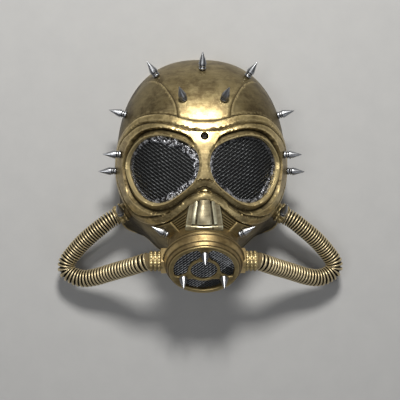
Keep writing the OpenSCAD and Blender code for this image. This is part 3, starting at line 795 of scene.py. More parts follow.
def offset_points():
    """Points that follow each edge of the relief, so that the mesh keeps it crisp."""
    out = []
    for e2, e3 in ((EYE_R, E3_R), (EYE_L, E3_L)):
        turn = 1.0 if clockwise(e2) else -1.0
        for d in EYE_STEPS:
            q = e2
            for _ in range(2):
                real = np.where(d > 1, 1 + (d - 1) * bezel_width(q), d)
                q = step_along(e3, e2, turn * real, True)
            out.append(q)
    turn = -1.0 if clockwise(GOGGLE_LINE) else 1.0
    out += [step_along(G3, GOGGLE_LINE, turn * d * band_width(GOGGLE_LINE), True)
            for d in GOGGLE_STEPS]
    for p2, p3, steps in ((FOOT_LINE, F3, FOOT_STEPS), (PANEL_R, P3_R, PANEL_STEPS),
                          (PANEL_L, P3_L, PANEL_STEPS)):
        out += [step_along(p3, p2, -d, False) for d in steps]
    return np.vstack(out)


def spread(points, fixed, gap):
    """The points that are in a free cell of size gap, and share none with each other."""
    taken = {(round(p[0] / gap), round(p[1] / gap)) for p in fixed}
    kept = []
    for p in points:
        x, y = round(p[0] / gap), round(p[1] / gap)
        if not any((x + i, y + j) in taken for i in (-1, 0, 1) for j in (-1, 0, 1)):
            taken.add((x, y))
            kept.append(p)
    return np.array(kept)


def hex_fill(step, keep):
    """Even points in rows, out to the rim of the chart."""
    ys = np.arange(-185, 186, step * 0.866)
    xs = np.arange(-185, 186, step)
    pts = np.array([(x + (0.5 * step if j % 2 else 0), y) for j, y in enumerate(ys) for x in xs])
    pts = pts[np.hypot(pts[:, 0], pts[:, 1]) < reach(angle_of(pts)) - 0.7 * step]
    return pts[keep(pts)]


def thin_out(points, fixed, gap):
    """Drops the points that lie nearer than gap to a fixed one."""
    cell = {}
    for p in fixed:
        cell.setdefault((int(p[0] // gap), int(p[1] // gap)), []).append(p)
    out = []
    for p in points:
        i, j = int(p[0] // gap), int(p[1] // gap)
        if not any((f[0] - p[0]) ** 2 + (f[1] - p[1]) ** 2 < gap * gap
                   for di in (-1, 0, 1) for dj in (-1, 0, 1)
                   for f in cell.get((i + di, j + dj), ())):
            out.append(p)
    return np.array(out)


def triangulate(points, edges):
    res = delaunay_2d_cdt([Vector(p) for p in points], edges, [], 0, 1e-4)
    return np.array([list(v) for v in res[0]]), np.array([list(f) for f in res[2]])


def loop_edges(loops):
    edges, base = [], 0
    for loop in loops:
        edges += [(base + i, base + (i + 1) % len(loop)) for i in range(len(loop))]
        base += len(loop)
    return edges


def cut_mask(q, p3):
    """True where the shell has an opening: eyes, screw hole and the canister's tube."""
    hole = np.hypot(*(q - SCREW_HOLE + [0, CENTRE_Y]).T) < SCREW_HOLE_R
    r, z = can_radius(p3)
    return inside(EYE_R, q) | inside(EYE_L, q) | hole | ((r < CUT_R) & (z > CUT_BACK))


def make_shell():
    rim_a = np.arange(0, 360, 1.0)
    loops = [polar(reach(rim_a), rim_a), EYE_R, EYE_L,
             SCREW_HOLE - [0, CENTRE_Y] + circle(28, SCREW_HOLE_R)]
    fixed = np.vstack(loops)
    # lines may cross where the eyes come close to the frame, so they only lend their points
    kept = np.vstack([fixed, spread(offset_points(), fixed, GAP)])
    fills = [thin_out(hex_fill(step, keep), kept, gap) for step, keep, gap in
             ((FILL_GOGGLE, lambda p: inside(GOGGLE_LINE, p), GAP_GOGGLE),
              (FILL_OUTSIDE, lambda p: ~inside(GOGGLE_LINE, p), GAP_OUTSIDE))]
    q, tris = triangulate(np.vstack([kept] + fills), loop_edges(loops))
    p3 = chart_to_dome(q)
    h, wash = chart_relief(q, p3)
    # the rim stays on the floor plane
    to_rim = reach(angle_of(q)) - np.hypot(q[:, 0], q[:, 1])
    h = h * smooth(to_rim / RIM_FADE)
    nrm = dome_normal(q)
    centre = q[tris].mean(1)
    tris = tris[~cut_mask(centre, chart_to_dome(centre))]
    # inner skin: the same triangles, moved inwards, joined along every border
    used = np.unique(tris)
    remap = -np.ones(len(q), int)
    remap[used] = np.arange(len(used))
    outer = (p3 + h[:, None] * nrm)[used]
    inner = (p3 - WALL * nrm)[used]
    inner[to_rim[used] < 0.01, 2] = 0
    inner[:, 2] = np.maximum(inner[:, 2], 0)
    t = remap[tris]
    # make sure that the outer triangles look outwards
    nn = np.cross(outer[t[:, 1]] - outer[t[:, 0]], outer[t[:, 2]] - outer[t[:, 0]])
    flip = np.sum(nn * nrm[used][t[:, 0]], 1) < 0
    t[flip] = t[flip][:, ::-1]
    m = len(used)
    faces = [list(f) for f in t] + [list(f[::-1] + m) for f in t]
    way = dict.fromkeys((f[i], f[(i + 1) % 3]) for f in t for i in range(3))
    faces += [[b, a, a + m, b + m] for a, b in way if (b, a) not in way]
    put("face_shell_skin", np.vstack([outer, inner]), faces, M_GOLD, "antique_gold", 38,
        "face_shell", wash=np.concatenate([wash[used], np.full(m, INNER_WASH)]))


make_shell()

# ---------------------------------------------------------------- raised patches on the face


def lifted(q, lift):
    """Points over the chart places q, lifted off the dome."""
    q = np.asarray(q, float)
    return chart_to_dome(q) + np.reshape(lift, (-1, 1)) * dome_normal(q)


def patch(build, corners, lift, bevel, nx=8, ny=8, sink=1.0):
    """Slab over four chart corners, with bevelled edges and sides that sink into the shell."""
    c = np.asarray(corners, float)
    size = (np.linalg.norm(c[1] - c[0]) + np.linalg.norm(c[3] - c[2])) / 2
    deep = (np.linalg.norm(c[3] - c[0]) + np.linalg.norm(c[2] - c[1])) / 2
    side = [-sink, -0.8 * bevel, -0.25 * bevel]

    def steps(b, n):
        at = np.concatenate([[0, 0, 0.35 * b], np.linspace(b, 1 - b, n), [1 - 0.35 * b, 1, 1]])
        return list(zip(at, side + [0] * n + side[::-1]))

    lifts = np.full(4, lift, float)
    across, down = steps(bevel / size, nx), steps(bevel / deep, ny)
    pts, ups = [], []
    for t, dt in down:
        for s, ds in across:
            pts.append(lerp(lerp(c[0], c[1], s), lerp(c[3], c[2], s), t))
            up = lerp(lerp(lifts[0], lifts[1], s), lerp(lifts[3], lifts[2], s), t)
            low = min(ds, dt)
            ups.append(-sink if low <= -sink else up + low)
    verts = lifted(pts, ups)
    faces = grid_faces(len(down), len(across), wrap_cols=False)
    k = len(across) * 4 + 4
    a, b, d = verts[k], verts[k + 1], verts[k + len(across)]
    if np.cross(b - a, d - a) @ dome_normal(np.array([pts[k]]))[0] < 0:
        faces = [f[::-1] for f in faces]
    build.add(verts, faces)


DUCT_ROWS = np.concatenate([np.linspace(-34.6, -57.5, 20),
                            [-58.6, -59.0, -59.6, -60.2, -61.0, -62.5, -64.0, -65.0, -65.8]])
# dark wash and painted shade on the duct's outer walls, at the step up to each pilaster and in the
# slots beside the flute
DUCT_WASH_AND_SHADE = [0.6, 0.3, 0, 0, 0.25, 0.5, 0, 0, 0, 0.3, 1, 1, 0.2, 0, 0, 0, 0, 0]
DUCT_FOOT = -1.2


def duct_edge(v):
    """Half of the duct's section at height v, from its foot in to the middle: (across, lift)."""
    w = 15.2 + (-44 - v) / 20 * 2.6
    f = lerp(4.4, 6.2, np.clip((-v - 39.4) / 19.3, 0, 1))
    top = lerp(1.6, 6.9, smooth((-v - 33) / 24))
    inner = w * 0.66
    edge = [(w + 0.5, DUCT_FOOT), (w, top - 1.6), (w - 0.5, top - 0.5), (w - 1.2, top - 0.15),
            (inner + 1.1, top), (inner + 0.5, top + 0.1), (inner, top + 0.7),
            (inner - 0.6, top + 0.95), (f + 2.6, top + 1.0), (f + 1.9, top + 0.8),
            (f + 1.6, top - 2.0), (f + 0.5, top - 2.0), (f + 0.1, top + 0.4),
            (f - 0.5, top + 0.8), (f * 0.72, top + 1.15), (f * 0.45, top + 1.45),
            (f * 0.2, top + 1.6), (0, top + 1.65)]
    if v < -59.3:       # the sill across the foot of the flute
        rise = 1.0 if -64.5 < v < -60.0 else 0.3
        edge = [(u, h if u > w - 0.3 else top + rise * (0.6 if u > w - 1.5 else 1.0))
                for u, h in edge]
    elif v < -58.3:     # the gap over the sill
        edge = [(u, h if u > inner - 0.2 else top - 2.0) for u, h in edge]
    if v < -65.5:
        edge = [(u, DUCT_FOOT) for u, h in edge]
    return edge


def make_duct():
    """The moulded duct from the goggle frame down to the canister: a flute between pilasters."""
    verts = []
    for v in DUCT_ROWS:
        edge = duct_edge(v)
        verts += [(-u, v, h) for u, h in edge] + [(u, v, h) for u, h in edge[-2::-1]]
    verts = np.array(verts)
    rows = len(DUCT_ROWS)
    put("nose_duct_moulding", lifted(verts[:, :2], verts[:, 2]),
        grid_faces(rows, len(verts) // rows, wrap_cols=False, flip=True), M_GOLD_PAINTED_LIT,
        "antique_gold", 40, "nose_duct", wash=np.tile(DUCT_WASH_AND_SHADE + DUCT_WASH_AND_SHADE[-2::-1], rows))


PLATE = np.array([(57.5, -71.5), (33.8, -59.6), (25.1, -69.2), (35.5, -82.3)])
PLATE_LIFT = (3.3, 3.6, 3.8, 3.4)
WINDOW = np.array([(33.4, -58.6), (17.0, -46.2), (18.6, -64.0), (25.0, -68.0)])
SLATS, SLAT_FROM, SLAT_PITCH, SLAT_W, SLAT_LIFT = 5, 0.06, 0.19, 0.11, 2.3


def make_snout_sides():
    for side, name in SIDES:
        b = Build()
        patch(b, PLATE * [side, 1], PLATE_LIFT, 0.8)
        put(name + "_snout_plate", *b.out(), M_OLIVE, "dark_gold", 50, wash=0.15)
        b = Build()
        q = WINDOW * [side, 1]
        for k in range(SLATS):
            t0 = SLAT_FROM + k * SLAT_PITCH
            t1 = t0 + SLAT_W
            c = [lerp(q[i], q[j], t) * 0.97 + q.mean(0) * 0.03
                 for i, j, t in ((0, 3, t0), (1, 2, t0), (1, 2, t1), (0, 3, t1))]
            patch(b, c, SLAT_LIFT, 0.4, ny=2, sink=0.8)
        put(name + "_vent_slats", *b.out(), M_OLIVE, "dark_gold", 50, name + "_vent_louvre",
            wash=0.1)


make_duct()
make_snout_sides()

# ---------------------------------------------------------------- eye meshes and glue

MESH_DEPTH, MESH_ANGLE, MESH_GROW = 4.4, 37, 1.8
WIRE_PITCH, WIRE_R = 3.0, 0.30
GLUE_COLS, GLUE_OUT, GLUE_RISE = 12, 1.6, 1.5


def under_dome(xy, depth):
    x, y = xy[:, 0], xy[:, 1]
    return np.stack([x, y, dome_z(x, y)], 1) - np.reshape(depth, (-1, 1)) * dome_slope(x, y)


def woven(build, outline, place, angle, pitch, radius, mats, sides=5, per=3):
    """Two crossing families of wires, woven over and under, cut to a flat outline.
    place(xy, lift) puts them on the surface and mats(family, line) picks a material."""
    mid = outline.mean(0)
    size = np.abs(outline - mid).max() * 1.5
    for family in (0, 1):
        a = math.radians(angle + 90 * family)
        d = np.array([math.cos(a), math.sin(a)])
        p = np.array([-d[1], d[0]])
        for k in range(int(-size / pitch), int(size / pitch) + 1):
            s = np.arange(-size, size, pitch / per)
            line = mid + np.outer(s, d) + (k + 0.5 * family) * pitch * p
            ok = inside(outline, line)
            if ok.sum() < per + 2:
                continue
            i0, i1 = np.argmax(ok), len(ok) - np.argmax(ok[::-1])
            line, s = line[i0:i1], s[i0:i1]
            phase = np.pi * (s / pitch + k + family + 0.5 * (1 - family))
            v, f = tube(place(line, radius * 0.9 * np.cos(phase)), radius, sides)
            build.add(v, f, mats(family, line))


def make_eyes():
    outline = E3_R[:, :2]
    mid = outline.mean(0)
    away = np.linalg.norm(outline - mid, axis=1)[:, None]
    wide = mid + (outline - mid) * (1 + MESH_GROW / away)
    rings, n = 9, len(wide)
    m = rings * n
    for side, name in SIDES:
        b = Build()
        # one family of wires gets a dim painted glint, the other keeps the wire's own black
        woven(b, wide, lambda xy, lift: under_dome(xy, MESH_DEPTH - 0.4 - lift) * [side, 1, 1],
              MESH_ANGLE, WIRE_PITCH, WIRE_R, lambda family, line: family)
        put(name + "_eye_wire_mesh", *b.out(), [M_WIRE_DIM_GLINT, M_WIRE_DARK], "black_mesh",
            node=name + "_eye_mesh", mats=b.mats)
        # black cloth behind the wires
        b = Build()
        pts = np.vstack([mid + (wide - mid) * g for g in np.linspace(1, 0.04, rings)])
        for depth, turn in ((MESH_DEPTH + 0.8, False), (MESH_DEPTH + 1.5, True)):
            f = grid_faces(rings, n) + [[(rings - 1) * n + i for i in range(n)]]
            b.add(under_dome(pts, depth) * [side, 1, 1],
                  [g[::-1] for g in f] if turn == (side > 0) else f)
        strip = [[i, (i + 1) % n, m + (i + 1) % n, m + i] for i in range(n)]
        b.faces += [g[::-side] for g in strip]
        put(name + "_eye_backing", *b.out(), M_CLOTH, "black_mesh")
        make_glue(side, name, outline, mid)


def make_glue(side, name, outline, mid):
    """A hand-laid strip of glue round the mesh, wide and crumbled where the left one was
    laid on thickly, by the nose."""
    n = len(outline)
    a = angle_of(outline - mid)

    def near(at, spread):
        return np.exp(-(((a - at + 180) % 360 - 180) / spread) ** 2)

    if side < 0:
        width = (2.4 + 6.0 * near(150, 45) + 5.0 * near(100, 32) + 3.4 * near(-140, 30)
                 + 3 * near(-100, 25))
        crust = np.clip(0.15 + near(150, 55) + near(95, 35) + near(-130, 40), 0, 1)
    else:
        width = 2.6 + 2.2 * near(180, 45) + 3.0 * near(-35, 35) + 1.0 * near(-120, 40)
        crust = np.clip(0.1 + 0.5 * near(175, 50) + 0.55 * near(-40, 35)
                        + 0.3 * near(-110, 40), 0, 1)
    swing = RNG.normal(0, 1, 40)
    wob = np.interp(np.arange(n), np.linspace(0, n, 41), np.append(swing, swing[0]))
    width = np.maximum(width * (1 + 0.14 * wob), 1.5)
    away = unit(mid - outline)
    last = GLUE_COLS - 1

    def column(k, depth, crumbled):
        q = outline + away * (-GLUE_OUT + k / last * (width + GLUE_OUT))[:, None]
        verts.append(under_dome(q, np.broadcast_to(depth, n)) * [side, 1, 1])
        crusts.append(crumbled)

    verts, crusts = [], []
    for k in range(GLUE_COLS):
        mid_column = 0 < k < last
        hump = math.sin(math.pi * min(1, 0.12 + 0.88 * k / last)) ** 0.6 if mid_column else 0.0
        rough = RNG.normal(0, 1, n)
        rough = (rough + np.roll(rough, 1)) / 1.6
        lift = GLUE_RISE * hump + crust * 0.38 * rough * mid_column if k < last else -0.6
        column(k, MESH_DEPTH - 0.5 - lift, crust * (1 if mid_column else 0.6))
    # the underside closes the strip behind the mesh
    for k in (last, 0):
        column(k, MESH_DEPTH + 0.6, np.zeros(n))
    put(name + "_glue_bead", np.vstack(verts),
        grid_faces(GLUE_COLS + 2, n, wrap_rows=True, flip=side < 0), M_GLUE, "black_glue",
        node=name + "_eye_bead", crust=np.concatenate(crusts))


make_eyes()

# ---------------------------------------------------------------- canister

RING_R, LIP_R, BODY_R, BODY_BACK = 35.0, 41.5, 35.7, -52.0
PORT_Y, PORT_Z, BLOCK_X, BLOCK_HALF = -8.0, -20.0, 43.0, 10.0
BLOCK_BACK, BLOCK_FRONT = -30.0, -11.0
CAN_SIDES = 96
CAN_PROFILE = [(33.2, -8.2), (33.2, BODY_BACK), (BODY_R - 0.6, BODY_BACK),
               (BODY_R, BODY_BACK + 0.6), (BODY_R, -14.6), (36.2, -13.9), (41.0, -13.8),
               (41.6, -13.2), (LIP_R, -12.3), (40.9, -11.9), (40.3, -11.9), (39.9, -11.2),
               (38.9, -6.6), (38.7, -5.9), (38.2, -5.5), (37.6, -5.4), (37.2, -4.8), (36.3, -1.9),
               (35.9, -1.4), (35.0, -1.2), (31.0, -1.2), (31.0, -6.0), (29.0, -6.0), (29.0, -8.2)]
CAN_HOLLOWS = ((40.5, -11.9), (37.6, -5.3), (35.9, -14.2), (36.0, -1.3))
BLOCK_LEVELS = [(30.0, 1.0), (BLOCK_X - 1.2, 1.0), (BLOCK_X - 0.5, 0.985),
                (BLOCK_X - 0.1, 0.95), (BLOCK_X, 0.90), (BLOCK_X, 0.02)]
COLLAR_PROFILE = [(36.0, -20.0), (37.4, -20.0), (38.5, -18.9), (38.7, -17.4), (38.2, -16.8),
                  (38.2, -16.2), (38.6, -15.6), (38.4, -14.6), (37.6, -14.2), (36.0, -14.2)]


def make_canister():
    b = Build()
    v, f = lathe(rounded(CAN_PROFILE, 0.35, closed=True), CAN_SIDES, CAN, closed=True)
    b.add(v, f)
    dark = np.zeros(len(v))
    r, h = can_radius(v)
    for gr, gh in CAN_HOLLOWS:
        dark = np.maximum(dark, np.exp(-(((r - gr) ** 2 + (h - gh) ** 2) / 0.9)))
    dark = np.maximum(dark, 0.45 * smooth((-h - 14) / 2))
    for side in (1, -1):
        # the block that carries the hose port: a rounded slab let into the tube
        y0, y1 = PORT_Y - BLOCK_HALF, PORT_Y + BLOCK_HALF
        loop = rounded([(y0, BLOCK_BACK), (y1, BLOCK_BACK), (y1, BLOCK_FRONT), (y0, BLOCK_FRONT)],
                       2.6, closed=True, steps=4)
        c, n = loop.mean(0), len(loop)
        verts = [can(np.column_stack([np.full(n, side * x), c + (loop - c) * g]))
                 for x, g in BLOCK_LEVELS]
        b.add(np.vstack(verts), grid_faces(len(verts), n, flip=side < 0)
              + [g[::side] for g in end_caps(len(verts), n)[::-1]])
        # two ribs along the block, as on the moulding
        for y in (PORT_Y - 6.0, PORT_Y + 6.0):
            rib = [can(np.array([side * (BLOCK_X + 0.1), y, z]))
                   for z in np.linspace(-28, -12.5, 8)]
            b.add(*tube(rib, 0.8, 8, up=(0, 1, 0)))
    put("canister_shell", *b.out(), M_CAN, "antique_gold", 35, "canister_body",
        wash=np.concatenate([dark, np.full(b.count - len(dark), 0.25)]))


def make_collar():
    prof = rounded(COLLAR_PROFILE, 0.3, closed=True)
    put("canister_collar_ring", *lathe(prof, CAN_SIDES, CAN, closed=True), M_OLIVE, "dark_gold",
        35, "canister_collar", wash=0)


HUB_R, HUB_BORE, GRILLE_BORE, SPOKE_W, SECTOR_CUT = 16.0, 13.3, 30.5, 8.0, 3.0
SPOKES = (90, 210, 330)
# outlines of the grille from its top face down over the rounded edge: (grow of the metal, height)
GRILLE_LEVELS = [(-0.75, 0.0), (-0.3, -0.18), (0.0, -0.65), (0.0, -2.4)]


def sector():
    """Outline of the opening between two spokes, with rounded corners."""
    third = math.radians(120)
    a0, a1 = (math.asin(SPOKE_W / 2 / r) for r in (HUB_R, GRILLE_BORE))
    outer = [(GRILLE_BORE * math.cos(a), GRILLE_BORE * math.sin(a))
             for a in np.linspace(a1, third - a1, 34)]
    inner = [(HUB_R * math.cos(a), HUB_R * math.sin(a)) for a in np.linspace(third - a0, a0, 22)]
    loop = np.array(outer + inner)
    pts = resample(loop, 0.5, True)
    keep = [min(np.linalg.norm(p - loop[k]) for k in (0, 33, 34, -1)) > SECTOR_CUT for p in pts]
    return resample(spline(resample(pts[keep], 1.3, True), 4, True), 1.0, True)


def make_grille():
    outlines = [([circle(n, r + way * grow) for grow, h in GRILLE_LEVELS], way > 0)
                for r, n, way in ((RING_R, 110, 1), (HUB_BORE, 48, -1))]
    for deg in SPOKES:
        c, s = math.cos(math.radians(deg)), math.sin(math.radians(deg))
        base = sector() @ np.array([[c, s], [-s, c]])
        along = np.roll(base, -1, 0) - np.roll(base, 1, 0)
        nrm = unit(np.stack([along[:, 1], -along[:, 0]], 1))
        outlines.append(([base - nrm * grow for grow, h in GRILLE_LEVELS], False))
    b = Build()
    loops, index = [], []
    for rings, outside in outlines:
        n = len(rings[0])
        v = np.vstack([np.column_stack([r, np.full(n, h)])
                       for r, (_, h) in zip(rings, GRILLE_LEVELS)])
        start = b.add(can(v), grid_faces(len(rings), n, flip=outside))
        loops.append(rings[0])
        index += range(start, start + n)
    flat = np.vstack(loops)
    fill = thin_out(hex_fill(2.6, lambda p: np.hypot(p[:, 0], p[:, 1]) < 34), flat, 1.2)
    q, tris = triangulate(np.vstack([flat, fill]), loop_edges(loops))
    c = q[tris].mean(1)
    solid = np.hypot(c[:, 0], c[:, 1]) < RING_R - 0.7
    for loop in loops[1:]:
        solid &= ~inside(loop, c)
    more = len(q) - len(flat)
    extra = b.add(can(np.column_stack([q[len(flat):], np.zeros(more)])), [])
    ids = np.array(index + list(range(extra, extra + more)))
    for f in tris[solid]:
        (x1, y1), (x2, y2) = q[f[1]] - q[f[0]], q[f[2]] - q[f[0]]
        b.faces.append(list(ids[f] if x1 * y2 - y1 * x2 > 0 else ids[f][::-1]))
    put("filter_grille_plate", *b.out(), M_GRILLE, "antique_gold", 50, "filter_grille", wash=0)


GLINT_SWAP_X = 12      # right of here the other family of wires catches the light


def make_filter_mesh():
    def place(xy, lift):
        dome = 1.6 * (1 - (xy ** 2).sum(1) / 31 ** 2)
        return can(np.column_stack([xy, -4.2 + dome + lift]))

    b = Build()
    # the family that catches the light gets a bright painted glint, the other a dimmer one
    woven(b, circle(72, 30.8), place, 48, 2.5, 0.36,
          lambda family, line: int(family != (line.mean(0)[0] >= GLINT_SWAP_X)))
    put("filter_wire_mesh", *b.out(), [M_WIRE_GLINT, M_WIRE_DIM_GLINT], "black_mesh", node="filter_mesh",
        mats=b.mats)
    prof = [(0.01, -3.9), (10, -4.1), (20, -4.7), (30.9, -5.6), (30.9, -6.4), (0.01, -6.4)]
    v, f = lathe(prof, 64, CAN)
    put("filter_backing", v, [g[::-1] for g in f] + [list(range(64))], M_CLOTH, "black_mesh")


make_canister()
make_collar()
make_grille()
make_filter_mesh()

# ---------------------------------------------------------------- hose ports

CHEEK_PORT = np.array([81, -43.5, 38.0])
CHEEK_DIR = unit([0.84, -0.54, 0])
NUT = [(0.01, -3), (9.0, -3), (9.2, 0)]
for z in (0.2, 4.2, 8.2):
    NUT += [(9.4, z), (10.4, z + 0.4), (10.5, z + 1.2), (10.4, z + 2.4), (9.4, z + 2.9)]
NUT += [(9.3, 11.8), (8.2, 12.0), (0.01, 12.0)]
FITTING = [(0.01, -5), (8.8, -5), (9.0, 0.0), (9.3, 0.6), (10.6, 1.0), (10.9, 1.8), (10.6, 2.8),
           (9.5, 3.2), (9.4, 4.6), (10.2, 5.0), (10.5, 5.8), (10.5, 7.8), (10.1, 8.6), (9.2, 9.3),
           (8.0, 9.5), (0.01, 9.5)]


def knurled(profile, at, notch, depth):
    """Turned piece whose outer ribs have shallow notches."""
    v, f = lathe(profile, 72, at)
    o, ex, ey, ez = at
    mid = o + np.outer((v - o) @ ez, ez)
    r = np.linalg.norm(v - mid, axis=1)
    ang = np.arctan2((v - o) @ ey, (v - o) @ ex)
    k = 1 - depth * (r > r.max() - 0.6) * (np.cos(ang * notch) > 0.35)
    return mid + (v - mid) * k[:, None], f


def make_ports():
    for side, name in SIDES:
        on_block = axes(can(np.array([side * BLOCK_X, PORT_Y, PORT_Z])), (side, 0, 0), (0, 0, 1))
        put(name + "_filter_port_nut", *knurled(rounded(NUT, 0.25), on_block, 18, 0.05), M_GOLD,
            "antique_gold", 35, name + "_filter_port", wash=0)
        on_cheek = axes(CHEEK_PORT * [side, 1, 1], CHEEK_DIR * [side, 1, 1], (0, 0, 1))
        put(name + "_cheek_port_fitting", *knurled(rounded(FITTING, 0.3), on_cheek, 12, 0.06),
            M_GOLD, "antique_gold", 35, name + "_cheek_port", wash=0)


make_ports()

# ---------------------------------------------------------------- spikes and screws

SPIKE = [(0.01, -0.6), (3.5, -0.6), (3.8, -0.2), (3.85, 0.9), (3.6, 1.35), (2.95, 1.5), (2.8, 1.85),
         (2.95, 2.2), (3.6, 2.35), (3.85, 2.8), (3.75, 3.4), (3.4, 3.7), (2.9, 3.85), (2.8, 4.1),
         (3.0, 4.35), (3.9, 4.5), (4.25, 4.8), (4.2, 5.4), (3.7, 7.4), (0.45, 17.0),
         (0.22, 17.4), (0.01, 17.5)]
STUD = [(0.01, -0.6), (4.1, -0.6), (4.1, 0.1), (4.4, 0.3), (4.45, 0.8), (4.3, 1.2), (3.9, 2.2),
        (0.5, 13.0), (0.22, 13.4), (0.01, 13.5)]
# x, y, lift over the dome, heading and rise in degrees
CROWN, CROWN_SIDE, FOREHEAD = (0, 103, 1.5, 90, 20), (47, 97, 1.5, 55, 20), (20, 69, 1, 65, 50)
TEMPLES = [(79, 57, 1.5, 16, 12), (81.5, 15, 4, 0, 14), (87, -1, 4, -3, 14)]
SNOUT = (35, -64, 3.6, 27, 14)
CHEEK_SPIKE, CHEEK_HEADING, CHEEK_RISE = (85, -46, 49.9), 75, 55
STUD_AT = 23.5


def aimed(p, heading, rise, side):
    h, e = math.radians(heading), math.radians(rise)
    d = np.array([math.cos(h) * math.cos(e), math.sin(h) * math.cos(e), math.sin(e)])
    return axes(np.array(p) * [side, 1, 1], d * [side, 1, 1], (0.1, 0.2, 1))


def spikes_at(places, sides):
    return [aimed(np.array([x, y, float(dome_z(x, y))]) + lift * dome_slope(x, y), heading, rise, s)
            for s in sides for x, y, lift, heading, rise in places]


def make_spikes():
    studs = [axes(can(np.append(polar(STUD_AT, a), 0.0)), CAN_Z, (1, 0, 0)) for a in SPOKES]
    groups = {
        "crown_spikes": spikes_at([CROWN], [1]) + spikes_at([CROWN_SIDE], [1, -1]),
        "forehead_spikes": spikes_at([FOREHEAD], [1, -1]),
        "right_temple_spikes": spikes_at(TEMPLES, [1]),
        "left_temple_spikes": spikes_at(TEMPLES, [-1]),
        "snout_spikes": spikes_at([SNOUT], [1, -1]),
        "cheek_spikes": [aimed(CHEEK_SPIKE, CHEEK_HEADING, CHEEK_RISE, s) for s in (1, -1)],
        "grille_spikes": studs,
    }
    for name, places in groups.items():
        b = Build()
        for at in places:
            b.add(*lathe(STUD if places is studs else SPIKE, 32, at))
        put(name + "_turned", *b.out(), M_SILVER, "spike_silver", 32, name)


def make_bridge_screw():
    x, y = SCREW_HOLE
    at = axes((x, y, float(dome_z(x, y))), (0, 0, 1), (1, 0, 0))
    prof = rounded([(0.01, -9), (1.6, -9), (1.6, -2.4), (3.2, -1.6), (3.2, -0.9), (2.2, -0.5),
                    (0.01, -0.4)], 0.2)
    b = Build()
    v, f = lathe(prof, 32, at)
    # a cross recess pressed into the head
    d = v - at[0]
    r = np.hypot(d[:, 0], d[:, 1])
    v[(np.minimum(abs(d[:, 0]), abs(d[:, 1])) < 0.5) & (r < 2.1) & (d[:, 2] > -0.8), 2] -= 0.8
    b.add(v, f)
    prof = rounded([(1.7, -6), (5.4, -6), (5.4, -4.7), (1.7, -4.7)], 0.2, closed=True)
    b.add(*lathe(prof, 32, at, closed=True))
    put("bridge_screw_head", *b.out(), M_SCREW_SHADED, "screw_steel", 35, "bridge_screw")


make_spikes()
make_bridge_screw()

# ---------------------------------------------------------------- head strap

STRAP_X, STRAP_BACK, STRAP_END, STRAP_CORNER = 83.6, 83.0, 4.0, 48.0
STRAP_Z, STRAP_W, STRAP_T = 3.5, 18.0, 1.4
LANES, PER_LANE = 11, 6
GLIDE_W, GLIDE_BAR, GLIDE_T, GLIDE_GAP, GLIDE_RAIL = 24.0, 4.0, 1.8, 0.3, 2.4


def slab(lo, hi, soft=0.5):
    """A box with rounded edges."""
    lo, hi = np.array(lo, float), np.array(hi, float)
    loop = rounded([(lo[0], lo[1]), (hi[0], lo[1]), (hi[0], hi[1]), (lo[0], hi[1])], soft * 1.6,
                   closed=True, steps=4)
    c, n = loop.mean(0), len(loop)
    half = (hi[:2] - lo[:2]) / 2
    rows = [np.column_stack([c + (loop - c) * (1 - inset / half), np.full(n, z)])
            for inset, z in ((soft, lo[2]), (soft * 0.3, lo[2] + soft * 0.3), (0, lo[2] + soft),
                             (0, hi[2] - soft), (soft * 0.3, hi[2] - soft * 0.3), (soft, hi[2]))]
    return np.vstack(rows), grid_faces(len(rows), n) + end_caps(len(rows), n)


def strap_route():
    r = STRAP_CORNER
    half = [(STRAP_X, y) for y in np.linspace(STRAP_END, STRAP_BACK - r, 16)[:-1]]
    half += [(STRAP_X - r + r * math.cos(a), STRAP_BACK - r + r * math.sin(a))
             for a in np.linspace(0, math.pi / 2, 40)]
    return np.array(half + [(-x, y) for x, y in half[::-1]])


def make_strap():
    """Woven elastic band with raised lengthwise cords and a bound edge."""
    route = resample(strap_route(), 1.2, False)
    t = np.gradient(route, axis=0)
    t /= np.linalg.norm(t, axis=1)[:, None]
    inward = np.stack([-t[:, 1], t[:, 0]], 1)
    z = np.linspace(0, 1, LANES * PER_LANE + 1)
    cord = 0.16 * np.abs(np.sin(z * LANES * math.pi))
    outer = 0.18 - cord + 0.45 * np.exp(-np.minimum(z, 1 - z) * STRAP_W / 0.25)
    ring = ([(zz * STRAP_W, d) for zz, d in zip(z, outer)]
            + [(zz * STRAP_W, STRAP_T - d) for zz, d in zip(z[::-1], outer[::-1])])
    verts = [np.append(p + n * d, STRAP_Z + h) for p, n in zip(route, inward) for h, d in ring]
    rows, m = len(route), len(ring)
    put("head_strap_webbing", verts, grid_faces(rows, m) + end_caps(rows, m), M_WEB,
        "black_elastic", 60, "head_strap", "strap")


def make_adjuster():
    w, bar, t, rail = GLIDE_W, GLIDE_BAR, GLIDE_T, GLIDE_RAIL
    face_y, inner_y = STRAP_BACK + GLIDE_GAP, STRAP_BACK - STRAP_T - GLIDE_GAP - t
    z0, z1 = STRAP_Z - GLIDE_GAP - rail, STRAP_Z + STRAP_W + GLIDE_GAP + rail
    b = Build()
    for x in (-w / 2, w / 2 - bar):
        b.add(*slab((x, face_y, z0), (x + bar, face_y + t, z1)))
    b.add(*slab((-bar / 2, inner_y, z0), (bar / 2, inner_y + t, z1)))
    for z in (z0, z1 - rail):
        b.add(*slab((-w / 2, inner_y, z), (w / 2, face_y + t, z + rail)))
    put("strap_tri_glide", *b.out(), M_PLASTIC, "black_plastic", 40, "strap_adjuster", "adjuster")


make_strap()
make_adjuster()

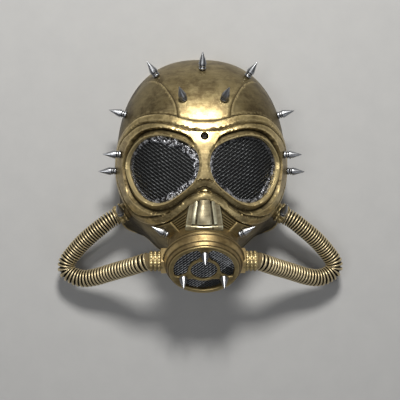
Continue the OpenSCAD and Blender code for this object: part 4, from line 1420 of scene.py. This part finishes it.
# ---------------------------------------------------------------- floor, light

FLOOR_HALF = 4.0
# name, place, aim, size, power, colour
LIGHTS = [("key_light", (0.02, 0.85, 1.15), (0, 0.02, 0.05), 0.3, 21, (1, 0.98, 0.94)),
          ("top_light", (-0.45, -0.1, 1.3), (0, 0, 0.05), 0.35, 2.5, (1, 1, 1)),
          ("fill_light", (0.7, -0.9, 0.9), (0, 0, 0.05), 0.7, 1.2, (0.95, 0.97, 1)),
          ("floor_light", (-0.3, -0.6, 2.6), (0, 0, 0), 2.4, 5, (1, 1, 1))]
WORLD_COLOUR, WORLD_STRENGTH = (0.93, 0.95, 1.0, 1), 0.085


def make_floor():
    mesh = bpy.data.meshes.new("studio_floor")
    s = FLOOR_HALF
    mesh.from_pydata([(-s, -s, 0), (s, -s, 0), (s, s, 0), (-s, s, 0)], [], [(0, 1, 2, 3)])
    paint = Shade("pale_floor")
    c = paint.mix(paint.noise(40, 4), (0.40, 0.40, 0.40), (0.45, 0.45, 0.445))
    mesh.materials.append(paint.done(c, 0.8))
    linked("studio_floor", mesh)


def make_lights():
    for name, at, aim, size, power, colour in LIGHTS:
        data = bpy.data.lights.new(name, "AREA")
        data.shape, data.size, data.energy, data.color = "DISK", size, power, colour
        obj = linked(name, data)
        obj.location = at
        obj.rotation_mode = "QUATERNION"
        obj.rotation_quaternion = (Vector(aim) - Vector(at)).to_track_quat("-Z", "Y")
    world = bpy.data.worlds.new("studio")
    world.use_nodes = True
    back = world.node_tree.nodes["Background"].inputs
    back[0].default_value, back[1].default_value = WORLD_COLOUR, WORLD_STRENGTH
    bpy.context.scene.world = world
    bpy.context.scene.view_settings.view_transform = "Standard"


make_floor()
make_lights()

# ---------------------------------------------------------------- CAD nodes that stay

STAY = {"spike_screws": M_STEEL, "left_strap_rivet": M_STEEL, "right_strap_rivet": M_STEEL,
        "left_strap_plate": M_GOLD, "right_strap_plate": M_GOLD}
for name, material in STAY.items():
    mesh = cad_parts[name].data
    mesh.materials.clear()
    mesh.materials.append(material)
